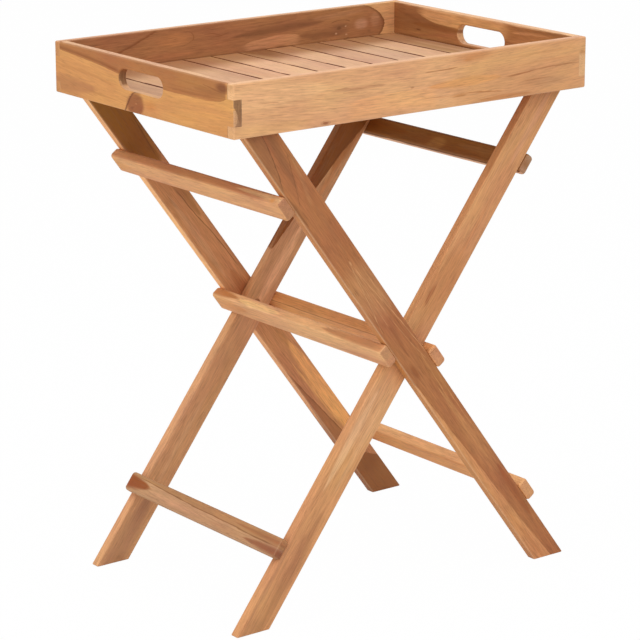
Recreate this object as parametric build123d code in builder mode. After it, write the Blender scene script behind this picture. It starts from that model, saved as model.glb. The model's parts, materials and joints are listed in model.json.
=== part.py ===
from build123d import *
import math
import os

# Tray table: a slatted tray that lifts off a folding cross-legged stand, all of teak.
# Millimetres, +Z up. X runs along the tray, Y from the front to the back, and the origin is on
# the floor under the middle of the tray.

# Tray boards
tray_length = 603.0
tray_width = 420.0
table_height = 760.0
board_height = 71.0
board_thickness = 13.0
board_corner_round = 3.0
board_outer_round = 2.0
board_inner_round = 0.6

# The end board's one finger goes through a slot in the end of the long board
finger_drop = 20.0
finger_rise = 16.5

# Hand slot in each end board
slot_drop = 15.0
slot_length = 104.0
slot_height = 28.0
slot_round = 2.0

# Slatted floor, which lies on two ledgers under its ends
floor_rise = 24.0
slat_count = 12
slat_gap = 2.5
slat_thickness = 9.0
slat_end_gap = 0.5
slat_round = 1.0
ledger_width = 35.0
ledger_height = 9.0
ledger_end_gap = 0.5

# Countersunk screws that hold each slat end down on its ledger
screw_radius = 1.75
screw_head_radius = 3.5
screw_tip_radius = 0.3
screw_cover = 3.0
screw_end_gap = 0.5
screw_cross_width = 0.9
screw_cross_depth = 0.8

# Legs: the tip of each leg top is cut upright, to stand inside the end board of the tray
leg_width = 44.0
leg_thickness = 15.0
leg_round = 2.0
foot_round = 1.0
leg_side_gap = 2.0
tip_cut = 6.0
tip_gap = 0.5
stand_shift = 6.5

# Rails across the two legs of a frame, on the narrow edges of the legs. Those of the outer frame
# are stouter, since they stop the stand.
outer_rail_width = 33.0
outer_rail_thickness = 17.0
inner_rail_width = 29.0
inner_rail_thickness = 15.0
rail_round = 5.0
rail_overhang = 2.0
rail_inset = 116.0
stop_gap = 0.3

# Dowels in the joints of the rails
dowel_radius = 3.0
dowel_in_leg = 16.0
dowel_cover = 4.0
dowel_end_gap = 1.0
dowel_chamfer = 0.8

# Pivot: a bolt through the inner leg, in a threaded insert in the outer leg
bolt_radius = 3.0
bolt_head_radius = 5.5
bolt_head_height = 3.0
bolt_head_sink = 0.2
bolt_end_gap = 1.0
bolt_socket_radius = 2.0
bolt_socket_depth = 1.8
insert_radius = 4.5
insert_cover = 3.5
insert_end_gap = 0.5
washer_radius = 9.0
washer_thickness = 1.0

# Clearances on round fits: one that is glued or screwed, one that turns, one that is loose
fixed_fit = 0.05
running_fit = 0.05
loose_fit = 0.3

# Places in the tray
half_length = tray_length / 2
half_width = tray_width / 2
inside_half_length = half_length - board_thickness
inside_half_width = half_width - board_thickness
board_bottom = table_height - board_height
board_middle = table_height - board_height / 2
finger_height = board_height - finger_drop - finger_rise
finger_middle = board_bottom + finger_rise + finger_height / 2
slot_middle = table_height - slot_drop - slot_height / 2
slat_bottom = board_bottom + floor_rise - slat_thickness
slat_length = 2 * (inside_half_width - slat_end_gap)
slat_pitch = 2 * inside_half_length / slat_count
slat_width = slat_pitch - slat_gap
ledger_bottom = slat_bottom - ledger_height
ledger_length = 2 * (inside_half_length - ledger_end_gap)
ledger_middle = inside_half_width - ledger_width / 2
screw_hole_depth = slat_thickness - screw_cover
screw_length = ledger_height + screw_hole_depth - screw_end_gap

# The legs cross half way up. Their slope comes from the height of their tops, and from the
# reach of the whole tip before it is cut.
leg_top = ledger_bottom
pivot_height = leg_top / 2
tip_reach = inside_half_length - stand_shift - tip_gap + tip_cut
slope = math.atan2(pivot_height, tip_reach)
slope += math.asin(leg_width / 2 / math.hypot(pivot_height, tip_reach))
leg_run = pivot_height / math.tan(slope)
leg_half_cut = leg_width / 2 / math.sin(slope)
leg_half_length = pivot_height / math.sin(slope)

# Faces of the legs, as distances from the middle of the stand
outer_leg_face = inside_half_width - leg_side_gap
outer_leg_back = outer_leg_face - leg_thickness
inner_leg_face = outer_leg_back - washer_thickness
inner_leg_back = inner_leg_face - leg_thickness

# End rails lie a set way in from the end of the leg. A stop rail lies so close to the crossing
# that its rounded edge meets the inner leg when the stand is open.
end_rail_place = leg_half_length - rail_inset
opening = 2 * slope
stop_arm = leg_width / 2 + rail_round
stop_edge = (stop_arm * (1 + math.cos(opening)) + stop_gap) / math.sin(opening) - rail_round
stop_rail_place = stop_edge + outer_rail_width / 2
dowel_in_rail = inner_rail_thickness - dowel_cover - dowel_end_gap

# Depths along the pivot
insert_length = leg_thickness - insert_cover - insert_end_gap
head_seat = bolt_head_sink + bolt_head_height
bolt_length = leg_thickness - head_seat + washer_thickness + insert_length - bolt_end_gap

OUTER, INNER = -1, 1
UPPER_EDGE, LOWER_EDGE = 1, -1
SIDES = {"front": -1, "back": 1}
ENDS = {"left": -1, "right": 1}
BASE = (Align.CENTER, Align.CENTER, Align.MIN)
CAP = (Align.CENTER, Align.CENTER, Align.MAX)

# Which rails each frame has: the leg edge that a rail lies on, and its place down the leg
outer_rails = {
    "outer_upper_rail": (LOWER_EDGE, -end_rail_place),
    "left_stop_rail": (LOWER_EDGE, -stop_rail_place),
    "right_stop_rail": (UPPER_EDGE, stop_rail_place),
    "outer_lower_rail": (UPPER_EDGE, end_rail_place),
}
inner_rails = {
    "inner_upper_rail": (LOWER_EDGE, -end_rail_place),
    "inner_lower_rail": (UPPER_EDGE, end_rail_place),
}
rail_sizes = {
    OUTER: (outer_rail_width, outer_rail_thickness),
    INNER: (inner_rail_width, inner_rail_thickness),
}
frames = {
    "outer": (OUTER, outer_leg_face, outer_rails),
    "inner": (INNER, inner_leg_face, inner_rails),
}

os.makedirs("parts", exist_ok=True)


def save(piece, name):
    """Label a finished piece and write its file."""
    piece.label = name
    export_step(piece, f"parts/{name}.step")


def down_leg(lean):
    """Direction down a leg: an outer leg runs down to the right, an inner one to the left."""
    return Vector(-lean * math.cos(slope), 0, -math.sin(slope))


def edge_out(lean, edge):
    """Direction out of the upper or lower narrow edge of a leg."""
    return Vector(-lean * math.sin(slope), 0, math.cos(slope)) * edge


def edge_plane(lean, edge, place):
    """Plane on a narrow edge of a leg, a way down from the pivot, with its X axis along Y."""
    pivot = Vector(stand_shift, 0, pivot_height)
    origin = pivot + down_leg(lean) * place + edge_out(lean, edge) * (leg_width / 2)
    return Plane(origin=origin, x_dir=(0, 1, 0), z_dir=edge_out(lean, edge))


def pivot_plane(distance, side):
    """Plane square to the pivot, a way out from the middle of the stand, facing the middle."""
    origin = (stand_shift, side * distance, pivot_height)
    return Plane(origin=origin, x_dir=(1, 0, 0), z_dir=(0, -side, 0))


def front_view(distance, side):
    """Upright plane with X to the right and Y upwards, as the table is seen from the front."""
    return Plane(origin=(0, side * distance, 0), x_dir=(1, 0, 0), z_dir=(0, -1, 0))


# Front and back boards, slotted at both ends for the fingers of the end boards
for side_name, side in SIDES.items():
    with BuildPart() as long_board:
        with BuildSketch(front_view(half_width, side)):
            with Locations((0, board_middle)):
                Rectangle(tray_length, board_height)
            with Locations((-half_length, finger_middle), (half_length, finger_middle)):
                Rectangle(2 * board_thickness, finger_height, mode=Mode.SUBTRACT)
        extrude(amount=side * board_thickness)
        corners = long_board.edges().filter_by(Axis.Z).filter_by(
            lambda e: abs(e.center().X) > half_length - board_thickness / 2
            and abs(e.center().Y) > half_width - board_thickness / 2
        )
        fillet(corners, board_corner_round)
        levels = long_board.faces().sort_by(Axis.Z)
        rims = levels[0].edges() + levels[-1].edges()
        outside = rims.filter_by(
            lambda e: abs(e.center().Y) > inside_half_width + board_inner_round
        )
        fillet(outside, board_outer_round)
        inside = long_board.edges().filter_by(Axis.X).filter_by(
            lambda e: e.length > inside_half_length
            and abs(e.center().Y) < inside_half_width + board_inner_round
        )
        fillet(inside, board_inner_round)
    save(long_board.part, f"tray_{side_name}_board")

# End boards, each with a finger at both ends and a rounded hand slot
for end_name, end in ENDS.items():
    with BuildPart() as end_board:
        with BuildSketch(Plane.YZ.offset(end * half_length)):
            with Locations((0, board_middle)):
                Rectangle(2 * inside_half_width, board_height)
            with Locations((0, finger_middle)):
                Rectangle(tray_width, finger_height)
            with Locations((0, slot_middle)):
                SlotOverall(slot_length, slot_height, mode=Mode.SUBTRACT)
        extrude(amount=-end * board_thickness)
        slot_edges = end_board.edges().filter_by(Axis.X, reverse=True).filter_by(
            lambda e: abs(e.center().Y) < slot_length / 2 + slot_round
            and abs(e.center().Z - slot_middle) < slot_height / 2 + slot_round
        )
        fillet(slot_edges, slot_round)
        corners = end_board.edges().filter_by(Axis.Z).filter_by(
            lambda e: abs(e.center().Y) > half_width - board_thickness / 2
            and abs(e.center().X) > half_length - board_thickness / 2
        )
        fillet(corners, board_corner_round)
        levels = end_board.faces().filter_by(Axis.Z).sort_by(Axis.Z)
        rims = (levels[0].edges() + levels[-1].edges()).filter_by(Axis.Y)
        outside = rims.filter_by(
            lambda e: abs(e.center().X) > half_length - board_thickness / 2
        )
        fillet(outside, board_outer_round)
        levels = end_board.faces().filter_by(Axis.Z).sort_by(Axis.Z)
        rims = (levels[0].edges() + levels[-1].edges()).filter_by(Axis.Y)
        inside = rims.filter_by(
            lambda e: abs(e.center().X) < half_length - board_thickness / 2
        )
        fillet(inside, board_inner_round)
    save(end_board.part, f"tray_{end_name}_end")

# Floor slats, each with a blind screw hole up into both ends
for number in range(slat_count):
    slat_x = (number - (slat_count - 1) / 2) * slat_pitch
    with BuildPart(Plane((slat_x, 0, slat_bottom))) as slat:
        Box(slat_width, slat_length, slat_thickness, align=BASE)
        fillet(slat.edges().filter_by(Axis.Y).group_by(Axis.Z)[-1], slat_round)
        with Locations(Location((0, 0, 0), (180, 0, 0))):
            with GridLocations(0, 2 * ledger_middle, 1, 2):
                Hole(screw_radius + fixed_fit, screw_hole_depth)
    save(slat.part, f"tray_slat_{number + 1:02d}")

# Ledgers along the front and back boards, drilled and countersunk from below
for side_name, side in SIDES.items():
    with BuildPart(Plane((0, side * ledger_middle, ledger_bottom))) as ledger:
        Box(ledger_length, ledger_width, ledger_height, align=BASE)
        with Locations(Location((0, 0, 0), (180, 0, 0))):
            with GridLocations(slat_pitch, 0, slat_count, 1):
                CounterSinkHole(
                    screw_radius + fixed_fit,
                    screw_head_radius + fixed_fit,
                    counter_sink_angle=90,
                )
    save(ledger.part, f"{side_name}_ledger")

# Slat screws, all alike, with a cross in the head below and the tip above
screw_cone_height = screw_head_radius - screw_radius
screw_tip_height = screw_radius - screw_tip_radius
with BuildPart() as one_screw:
    Cone(screw_head_radius, screw_radius, screw_cone_height, align=BASE)
    with Locations((0, 0, screw_cone_height)):
        Cylinder(screw_radius, screw_length - screw_cone_height - screw_tip_height, align=BASE)
    with Locations((0, 0, screw_length - screw_tip_height)):
        Cone(screw_radius, screw_tip_radius, screw_tip_height, align=BASE)
    for turn in (0, 90):
        with Locations(Location((0, 0, 0), (0, 0, turn))):
            Box(
                2 * screw_radius,
                screw_cross_width,
                screw_cross_depth,
                align=BASE,
                mode=Mode.SUBTRACT,
            )
with BuildPart(Plane.XY.offset(ledger_bottom)) as slat_screws:
    with GridLocations(slat_pitch, 2 * ledger_middle, slat_count, 2):
        add(one_screw.part)
save(slat_screws.part, "slat_screws")

# One dowel, which stands in the edge of a leg and goes up into the rail on it
with BuildPart() as one_dowel:
    with Locations((0, 0, -dowel_in_leg)):
        Cylinder(dowel_radius, dowel_in_leg + dowel_in_rail, align=BASE)
    chamfer(one_dowel.edges().filter_by(GeomType.CIRCLE), dowel_chamfer)

# The two frames of the stand, each of two legs with their rails and dowels
for frame_name, (lean, leg_face, rails) in frames.items():
    dowel_spread = 2 * leg_face - leg_thickness
    foot = -lean * leg_run
    foot_half = -lean * leg_half_cut
    cut_x = -foot - foot_half - lean * tip_cut
    for side_name, side in SIDES.items():
        with BuildPart() as leg:
            with BuildSketch(front_view(leg_face, side)):
                with BuildLine():
                    Polyline(
                        (stand_shift + foot - foot_half, 0),
                        (stand_shift + foot + foot_half, 0),
                        (stand_shift - foot + foot_half, leg_top),
                        (stand_shift + cut_x, leg_top),
                        (stand_shift + cut_x, leg_top - tip_cut * math.tan(slope)),
                        close=True,
                    )
                make_face()
            extrude(amount=side * leg_thickness)
            fillet(leg.edges().filter_by(Axis((0, 0, 0), down_leg(lean))), leg_round)
            fillet(leg.faces().sort_by(Axis.Z)[0].edges(), foot_round)
            for edge, place in rails.values():
                with Locations(edge_plane(lean, edge, place)):
                    with Locations((side * dowel_spread / 2, 0)):
                        Hole(dowel_radius + fixed_fit, dowel_in_leg + dowel_end_gap)
            if lean == OUTER:
                with Locations(pivot_plane(outer_leg_back, side)):
                    Hole(insert_radius + fixed_fit, leg_thickness - insert_cover)
            else:
                with Locations(pivot_plane(inner_leg_back, side)):
                    CounterBoreHole(
                        bolt_radius + running_fit, bolt_head_radius + loose_fit, head_seat
                    )
        save(leg.part, f"{frame_name}_{side_name}_leg")

    rail_width, rail_thickness = rail_sizes[lean]
    for rail_name, (edge, place) in rails.items():
        with BuildPart(edge_plane(lean, edge, place)) as rail:
            Box(2 * (leg_face + rail_overhang), rail_width, rail_thickness, align=BASE)
            fillet(rail.edges(), rail_round)
            with Locations(Location((0, 0, 0), (180, 0, 0))):
                with GridLocations(dowel_spread, 0, 2, 1):
                    Hole(dowel_radius + fixed_fit, dowel_in_rail + dowel_end_gap)
        save(rail.part, rail_name)

    with BuildPart() as dowels:
        for edge, place in rails.values():
            with Locations(edge_plane(lean, edge, place)):
                with GridLocations(dowel_spread, 0, 2, 1):
                    add(one_dowel.part)
    save(dowels.part, f"{frame_name}_rail_dowels")

# Pivots: each bolt lies in its inner leg and ends in the insert, with a washer between the legs
for side_name, side in SIDES.items():
    head_plane = pivot_plane(inner_leg_back + bolt_head_sink, side)
    with BuildPart(head_plane) as bolt:
        Cylinder(bolt_head_radius, bolt_head_height, align=CAP)
        with BuildSketch(head_plane):
            RegularPolygon(bolt_socket_radius, 6)
        extrude(amount=-bolt_socket_depth, mode=Mode.SUBTRACT)
        with Locations((0, 0, -bolt_head_height)):
            Cylinder(bolt_radius, bolt_length, align=CAP)
    save(bolt.part, f"{side_name}_pivot_bolt")

    with BuildPart() as insert:
        with BuildSketch(pivot_plane(outer_leg_back, side)):
            Circle(insert_radius)
            Circle(bolt_radius + fixed_fit, mode=Mode.SUBTRACT)
        extrude(amount=-insert_length)
    save(insert.part, f"{side_name}_pivot_insert")

    with BuildPart() as washer:
        with BuildSketch(pivot_plane(inner_leg_face, side)):
            Circle(washer_radius)
            Circle(bolt_radius + loose_fit, mode=Mode.SUBTRACT)
        extrude(amount=-washer_thickness)
    save(washer.part, f"{side_name}_pivot_washer")
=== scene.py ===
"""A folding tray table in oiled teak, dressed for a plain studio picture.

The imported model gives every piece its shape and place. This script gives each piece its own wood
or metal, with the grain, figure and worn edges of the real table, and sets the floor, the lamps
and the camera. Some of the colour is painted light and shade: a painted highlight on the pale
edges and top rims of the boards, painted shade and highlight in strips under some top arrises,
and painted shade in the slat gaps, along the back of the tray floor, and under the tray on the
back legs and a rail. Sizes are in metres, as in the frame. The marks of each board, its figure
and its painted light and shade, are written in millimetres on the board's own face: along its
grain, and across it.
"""

import json
import logging
import math
from abc import ABC, abstractmethod
from dataclasses import dataclass, field, replace
from enum import Enum
from typing import Sequence, Union

import bmesh
import bpy
from mathutils import Matrix, Vector


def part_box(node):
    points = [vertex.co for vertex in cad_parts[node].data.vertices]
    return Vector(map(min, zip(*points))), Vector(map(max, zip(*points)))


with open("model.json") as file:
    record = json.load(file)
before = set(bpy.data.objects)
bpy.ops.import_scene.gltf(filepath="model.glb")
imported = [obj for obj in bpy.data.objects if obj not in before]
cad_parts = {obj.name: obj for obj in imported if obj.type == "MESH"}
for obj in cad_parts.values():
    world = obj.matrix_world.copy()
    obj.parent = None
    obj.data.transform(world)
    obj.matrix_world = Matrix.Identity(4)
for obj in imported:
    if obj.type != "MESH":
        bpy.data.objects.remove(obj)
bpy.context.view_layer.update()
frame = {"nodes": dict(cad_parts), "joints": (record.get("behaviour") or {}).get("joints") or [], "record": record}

log = logging.getLogger("tray_table")

MM = 0.001

Socket = bpy.types.NodeSocket
Value = Union[float, Sequence[float], Socket]
Feeds = dict[Union[int, str], Value]
Outputs = bpy.types.NodeOutputs


@dataclass(frozen=True)
class Tone:
    """A colour as it looks in plain light: red, green and blue, from 0 to 255."""

    red: int
    green: int
    blue: int

    def linear(self) -> tuple[float, float, float, float]:
        """Give the colour as Blender mixes it, by the usual sRGB curve.

        Returns:
            Linear red, green and blue, and an alpha of 1.
        """
        red, green, blue = (
            level / 12.92 if level <= 0.04045 else ((level + 0.055) / 1.055) ** 2.4
            for level in (self.red / 255, self.green / 255, self.blue / 255)
        )
        return red, green, blue, 1.0


WHITE = Tone(255, 255, 255)
CREAM = Tone(244, 208, 168)
TAN = Tone(188, 136, 98)
CINNAMON = Tone(170, 112, 72)
UMBER = Tone(116, 68, 38)


@dataclass(frozen=True)
class Texture:
    """A noise in a material: cells to the metre on each axis, and how fine and rough it is."""

    scale: tuple[float, float, float]
    detail: float = 2.0
    roughness: float = 0.5


class Wiring:
    """Adds nodes to one node tree and joins them up.

    A Mix node has sockets of one name for numbers, vectors and colours, so those for colours go
    by their numbers.
    """

    MIX_UNDER = 6
    MIX_OVER = 7
    MIX_RESULT = 2

    def __init__(self, tree: bpy.types.NodeTree) -> None:
        """Start on a tree.

        Args:
            tree: the node tree of a material, a world or a group.
        """
        self.tree = tree

    def feed(self, socket: Socket, value: Value) -> None:
        """Link a socket to an output, or set its own value.

        Args:
            socket: the input to feed.
            value: an output socket to link from, or a plain number, colour or vector.
        """
        if isinstance(value, bpy.types.NodeSocket):
            self.tree.links.new(value, socket)
        else:
            socket.default_value = value

    def node(self, kind: str, feeds: Feeds, **settings: object) -> bpy.types.Node:
        """Add one node.

        Args:
            kind: the node's type name.
            feeds: what each of its inputs gets, by name or number.
            **settings: the node's own properties.

        Returns:
            The new node.
        """
        made = self.tree.nodes.new(kind)
        for name, setting in settings.items():
            setattr(made, name, setting)
        for name, value in feeds.items():
            self.feed(made.inputs[name], value)
        return made

    def math(self, operation: str, *values: Value) -> Socket:
        """Add a Math node and give its result."""
        return self.node("ShaderNodeMath", dict(enumerate(values)), operation=operation).outputs[0]

    def vector(self, operation: str, *values: Value) -> Socket:
        """Add a Vector Math node and give its vector."""
        made = self.node("ShaderNodeVectorMath", dict(enumerate(values)), operation=operation)
        return made.outputs["Vector"]

    def length(self, vector: Value) -> Socket:
        """Give the length of a vector."""
        return self.node("ShaderNodeVectorMath", {0: vector}, operation="LENGTH").outputs["Value"]

    def scaled(self, vector: Value, share: Value) -> Socket:
        """Give a vector times a number."""
        feeds = {0: vector, "Scale": share}
        return self.node("ShaderNodeVectorMath", feeds, operation="SCALE").outputs["Vector"]

    def parts(self, vector: Value) -> tuple[Socket, Socket, Socket]:
        """Take a vector apart into its three numbers."""
        along, across, out = self.node("ShaderNodeSeparateXYZ", {0: vector}).outputs
        return along, across, out

    def joined(self, along: Value, across: Value, out: Value) -> Socket:
        """Make a vector of three numbers."""
        return self.node("ShaderNodeCombineXYZ", {0: along, 1: across, 2: out}).outputs[0]

    def rise(self, value: Value, low: Value, high: Value) -> Socket:
        """Turn a value into a soft mask.

        Args:
            value: the value to read.
            low: where the mask is 0.
            high: where the mask is 1.

        Returns:
            The mask, which changes smoothly between the two.
        """
        feeds = {"Value": value, "From Min": low, "From Max": high}
        made = self.node("ShaderNodeMapRange", feeds, interpolation_type="SMOOTHSTEP")
        return made.outputs[0]

    def fall(self, value: Value, low: Value, high: Value) -> Socket:
        """Turn a value into a soft mask that is 1 below low and 0 above high."""
        return self.math("SUBTRACT", 1.0, self.rise(value, low, high))

    def between(self, value: Value, low: float, high: float) -> Socket:
        """Turn a value from 0 to 1 into one from low to high."""
        feeds = {"Value": value, "To Min": low, "To Max": high}
        return self.node("ShaderNodeMapRange", feeds).outputs[0]

    def mixed(self, share: Value, under: Value, over: Value) -> Socket:
        """Lay one colour over another.

        Args:
            share: how much of the upper colour shows, from 0 to 1.
            under: the lower colour.
            over: the upper colour.

        Returns:
            The colour that results.
        """
        feeds = {0: share, self.MIX_UNDER: under, self.MIX_OVER: over}
        return self.node("ShaderNodeMix", feeds, data_type="RGBA").outputs[self.MIX_RESULT]

    def noise(self, place: Value, detail: float = 2.0, roughness: float = 0.5) -> Outputs:
        """Add noise in space, one cell to a unit, and give its outputs."""
        feeds = {"Vector": place, "Scale": 1.0, "Detail": detail, "Roughness": roughness}
        return self.node("ShaderNodeTexNoise", feeds).outputs

    def level(self, place: Value, texture: Texture) -> Socket:
        """Give the level of a noise at a place."""
        spot = self.vector("MULTIPLY", place, texture.scale)
        return self.noise(spot, texture.detail, texture.roughness)[0]

    def bands(self, place: Value, detail: float, roughness: float) -> Socket:
        """Add noise along a line, one cell to a unit, and give its level."""
        feeds = {"W": place, "Scale": 1.0, "Detail": detail, "Roughness": roughness}
        return self.node("ShaderNodeTexNoise", feeds, noise_dimensions="1D").outputs[0]


class Kind(Enum):
    """Kinds of socket on a shader group."""

    NUMBER = "NodeSocketFloat"
    VECTOR = "NodeSocketVector"


class Effect:
    """A shader group with named inputs and outputs, built once and placed in many materials."""

    def __init__(self, name: str) -> None:
        """Start an empty group.

        Args:
            name: what the group is called.
        """
        self.tree = bpy.data.node_groups.new(name, "ShaderNodeTree")
        self.wiring = Wiring(self.tree)
        self.source = self.tree.nodes.new("NodeGroupInput")
        self.sink = self.tree.nodes.new("NodeGroupOutput")

    def take(self, name: str, kind: Kind = Kind.NUMBER) -> Socket:
        """Add an input.

        Args:
            name: the input's name.
            kind: what it carries.

        Returns:
            The socket that gives the input's value inside the group.
        """
        self.tree.interface.new_socket(name=name, in_out="INPUT", socket_type=kind.value)
        return self.source.outputs[name]

    def give(self, name: str, value: Socket, kind: Kind = Kind.NUMBER) -> None:
        """Add an output.

        Args:
            name: the output's name.
            value: the socket inside the group that it puts out.
            kind: what it carries.
        """
        self.tree.interface.new_socket(name=name, in_out="OUTPUT", socket_type=kind.value)
        self.wiring.feed(self.sink.inputs[name], value)

    def place(self, wiring: Wiring, feeds: Feeds) -> Outputs:
        """Place the group in a material.

        Args:
            wiring: the material's wiring.
            feeds: what each input gets, by name.

        Returns:
            The placed group's outputs.
        """
        return wiring.node("ShaderNodeGroup", feeds, node_tree=self.tree).outputs


class TeakGrain(Effect):
    """Growth rings, fibres and pores in solid teak, so that side grain and end grain agree.

    The rings lie round a pith beside the board. The grain runs along the board with a lean and a
    bow across it, and wanders a little. A pair of levels says where a noise begins to show and
    where it shows in full.
    """

    SLOW = Texture((3.5, 14.0, 14.0))
    FIBRE = Texture((38.0, 520.0, 520.0), 3.0, 0.6)
    PORE = Texture((60.0, 1300.0, 1300.0), 1.0)
    DASH = Texture((46.0, 560.0, 560.0), 1.0)
    CLUSTER = Texture((11.0, 48.0, 48.0), 1.0)
    MOTTLE = Texture((20.0, 90.0, 90.0), 2.0, 0.55)
    CLOUD = Texture((8.0, 26.0, 26.0))
    BAND_NOISE = (2.0, 0.5)
    RING_NOISE = (3.0, 0.6)
    BAND_LEVELS = (0.32, 0.68)
    RING_LEVELS = (0.5, 0.72)
    CLUSTER_LEVELS = (0.38, 0.62)
    PORE_LEVELS = (0.6, 0.74)
    DASH_LEVELS = (0.56, 0.7)
    PORE_DEPTH = 0.8
    SEED_SHIFT = (1.0, 1.7, 2.3)
    ROUND_PITH = (0.0, 1.0, 1.0)
    NOISE_MIDDLE = (0.5, 0.5, 0.5)
    BROAD_FEATHER = 4.0 * MM
    FINE_FEATHER = 2.6 * MM

    def __init__(self) -> None:
        """Build the group."""
        super().__init__("teak_grain")
        w = self.wiring
        place = self.take("Place", Kind.VECTOR)
        pith = self.take("Pith", Kind.VECTOR)
        lean = self.take("Lean", Kind.VECTOR)
        bow = self.take("Bow", Kind.VECTOR)
        band_width = self.take("Band Width")
        ring_width = self.take("Ring Width")
        wander = self.take("Wander")
        seed = self.take("Seed")

        shift = w.scaled(self.SEED_SHIFT, seed)
        own_place = w.vector("ADD", place, shift)
        along = w.parts(place)[0]
        course = w.vector("ADD", w.scaled(lean, along), w.scaled(bow, w.math("MULTIPLY", along, along)))
        drift = self.stray(own_place, self.SLOW, wander)
        flowed = w.vector("SUBTRACT", w.vector("ADD", place, drift), course)
        flow_place = w.vector("ADD", flowed, shift)

        to_pith = w.vector("SUBTRACT", flowed, pith)
        radius = w.length(w.vector("MULTIPLY", to_pith, self.ROUND_PITH))
        bands = w.bands(w.math("ADD", w.math("DIVIDE", radius, band_width), seed), *self.BAND_NOISE)
        rings = w.bands(w.math("ADD", w.math("DIVIDE", radius, ring_width), seed), *self.RING_NOISE)
        cluster = w.rise(w.level(own_place, self.CLUSTER), *self.CLUSTER_LEVELS)
        fibre = w.level(flow_place, self.FIBRE)
        pores = w.rise(w.level(flow_place, self.PORE), *self.PORE_LEVELS)
        dashes = w.rise(w.level(flow_place, self.DASH), *self.DASH_LEVELS)

        self.give("Bands", w.rise(bands, *self.BAND_LEVELS))
        self.give("Rings", w.math("MULTIPLY", w.rise(rings, *self.RING_LEVELS), cluster))
        self.give("Dashes", w.math("MULTIPLY", dashes, cluster))
        self.give("Mottle", w.level(flow_place, self.MOTTLE))
        self.give("Cloud", w.level(own_place, self.CLOUD))
        self.give("Fibre", fibre)
        self.give("Pores", pores)
        self.give("Relief", w.math("SUBTRACT", fibre, w.math("MULTIPLY", pores, self.PORE_DEPTH)))
        broad = self.stray(own_place, self.CLUSTER, self.BROAD_FEATHER)
        fine = self.stray(flow_place, self.FIBRE, self.FINE_FEATHER)
        feathered = w.vector("ADD", place, w.vector("ADD", broad, fine))
        self.give("Feathered", feathered, Kind.VECTOR)

    def stray(self, place: Socket, texture: Texture, reach: Value) -> Socket:
        """Give a small push this way and that, which changes from place to place.

        Args:
            place: a place in the wood.
            texture: the noise whose cells the push follows.
            reach: how far the push goes.

        Returns:
            The push.
        """
        w = self.wiring
        push = w.noise(w.vector("MULTIPLY", place, texture.scale))[1]
        return w.scaled(w.vector("SUBTRACT", push, self.NOISE_MIDDLE), reach)


class MarkMask(Effect):
    """A mask through which one kind of mark is laid on a board."""

    def own_place(self, place: Value, middle: Value, turn: Value) -> tuple[Socket, Socket]:
        """Find a point from the middle of a mark, on axes that turn with the mark.

        Args:
            place: the point on the board's face.
            middle: the mark's middle.
            turn: the mark's angle to the grain.

        Returns:
            How far along the mark the point is, and how far across it.
        """
        w = self.wiring
        feeds = {"Vector": w.vector("SUBTRACT", place, middle), "Angle": w.math("MULTIPLY", turn, -1.0)}
        turned = w.node("ShaderNodeVectorRotate", feeds, rotation_type="Z_AXIS").outputs[0]
        along, across, _ = w.parts(turned)
        return along, across

    def beside(self, off: Value, above: Value, below: Value) -> Socket:
        """Measure how far a point is off a line, by the mark's reach on that side.

        Args:
            off: the point's height above the line.
            above: how far the mark reaches above it.
            below: how far it reaches below it.

        Returns:
            0 on the line, and 1 where the mark stops.
        """
        w = self.wiring
        upper = w.math("DIVIDE", off, above)
        lower = w.math("DIVIDE", w.math("MULTIPLY", off, -1.0), below)
        return w.math("MAXIMUM", upper, lower)


class StreakMask(MarkMask):
    """Mask of a long streak, pointed at both ends and soft on each side: a streak in the grain, or a band of
    painted light or shade.
    """

    FADE_FROM = 0.8
    LEAST_TAPER = 0.02

    def __init__(self) -> None:
        """Build the group."""
        super().__init__("streak_of_grain_and_painted_light")
        w = self.wiring
        place = self.take("Place", Kind.VECTOR)
        middle = self.take("Middle", Kind.VECTOR)
        turn = self.take("Turn")
        reach = self.take("Reach")
        above = self.take("Above")
        below = self.take("Below")
        bow = self.take("Bow")
        core = self.take("Core")

        along, across = self.own_place(place, middle, turn)
        run = w.math("DIVIDE", w.math("ABSOLUTE", along), reach)
        run_squared = w.math("MULTIPLY", run, run)
        off = w.math("SUBTRACT", across, w.math("MULTIPLY", bow, run_squared))
        taper = w.math("MAXIMUM", w.math("SUBTRACT", 1.0, run_squared), self.LEAST_TAPER)
        side = w.math("DIVIDE", self.beside(off, above, below), taper)
        within = w.fall(run, self.FADE_FROM, 1.0)
        self.give("Mask", w.math("MULTIPLY", w.fall(side, core, 1.0), within))


class CourseMask(MarkMask):
    """Mask of a mark that follows a bent line, soft on each side and faded at both ends."""

    def __init__(self) -> None:
        """Build the group."""
        super().__init__("grain_course")
        w = self.wiring
        off = self.take("Off")
        run = self.take("Run")
        above = self.take("Above")
        below = self.take("Below")
        core = self.take("Core")
        fade = self.take("Fade")

        side = w.fall(self.beside(off, above, below), core, 1.0)
        to_end = w.math("MINIMUM", run, w.math("SUBTRACT", 1.0, run))
        self.give("Mask", w.math("MULTIPLY", side, w.rise(to_end, 0.0, fade)))


class PatchMask(MarkMask):
    """Mask of a rounded patch and its rim: a knot or a tongue of heartwood, or a pool of painted shade."""

    RIM_INSIDE = (0.78, 0.95)
    RIM_OUTSIDE = (0.97, 1.1)

    def __init__(self) -> None:
        """Build the group."""
        super().__init__("patch_of_grain_and_painted_shade")
        w = self.wiring
        place = self.take("Place", Kind.VECTOR)
        middle = self.take("Middle", Kind.VECTOR)
        turn = self.take("Turn")
        reach = self.take("Reach")
        height = self.take("Height")
        core = self.take("Core")

        along, across = self.own_place(place, middle, turn)
        far = w.length(w.joined(w.math("DIVIDE", along, reach), w.math("DIVIDE", across, height), 0.0))
        self.give("Mask", w.fall(far, core, 1.0))
        rim = w.math("MULTIPLY", w.rise(far, *self.RIM_INSIDE), w.fall(far, *self.RIM_OUTSIDE))
        self.give("Rim", rim)


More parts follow.
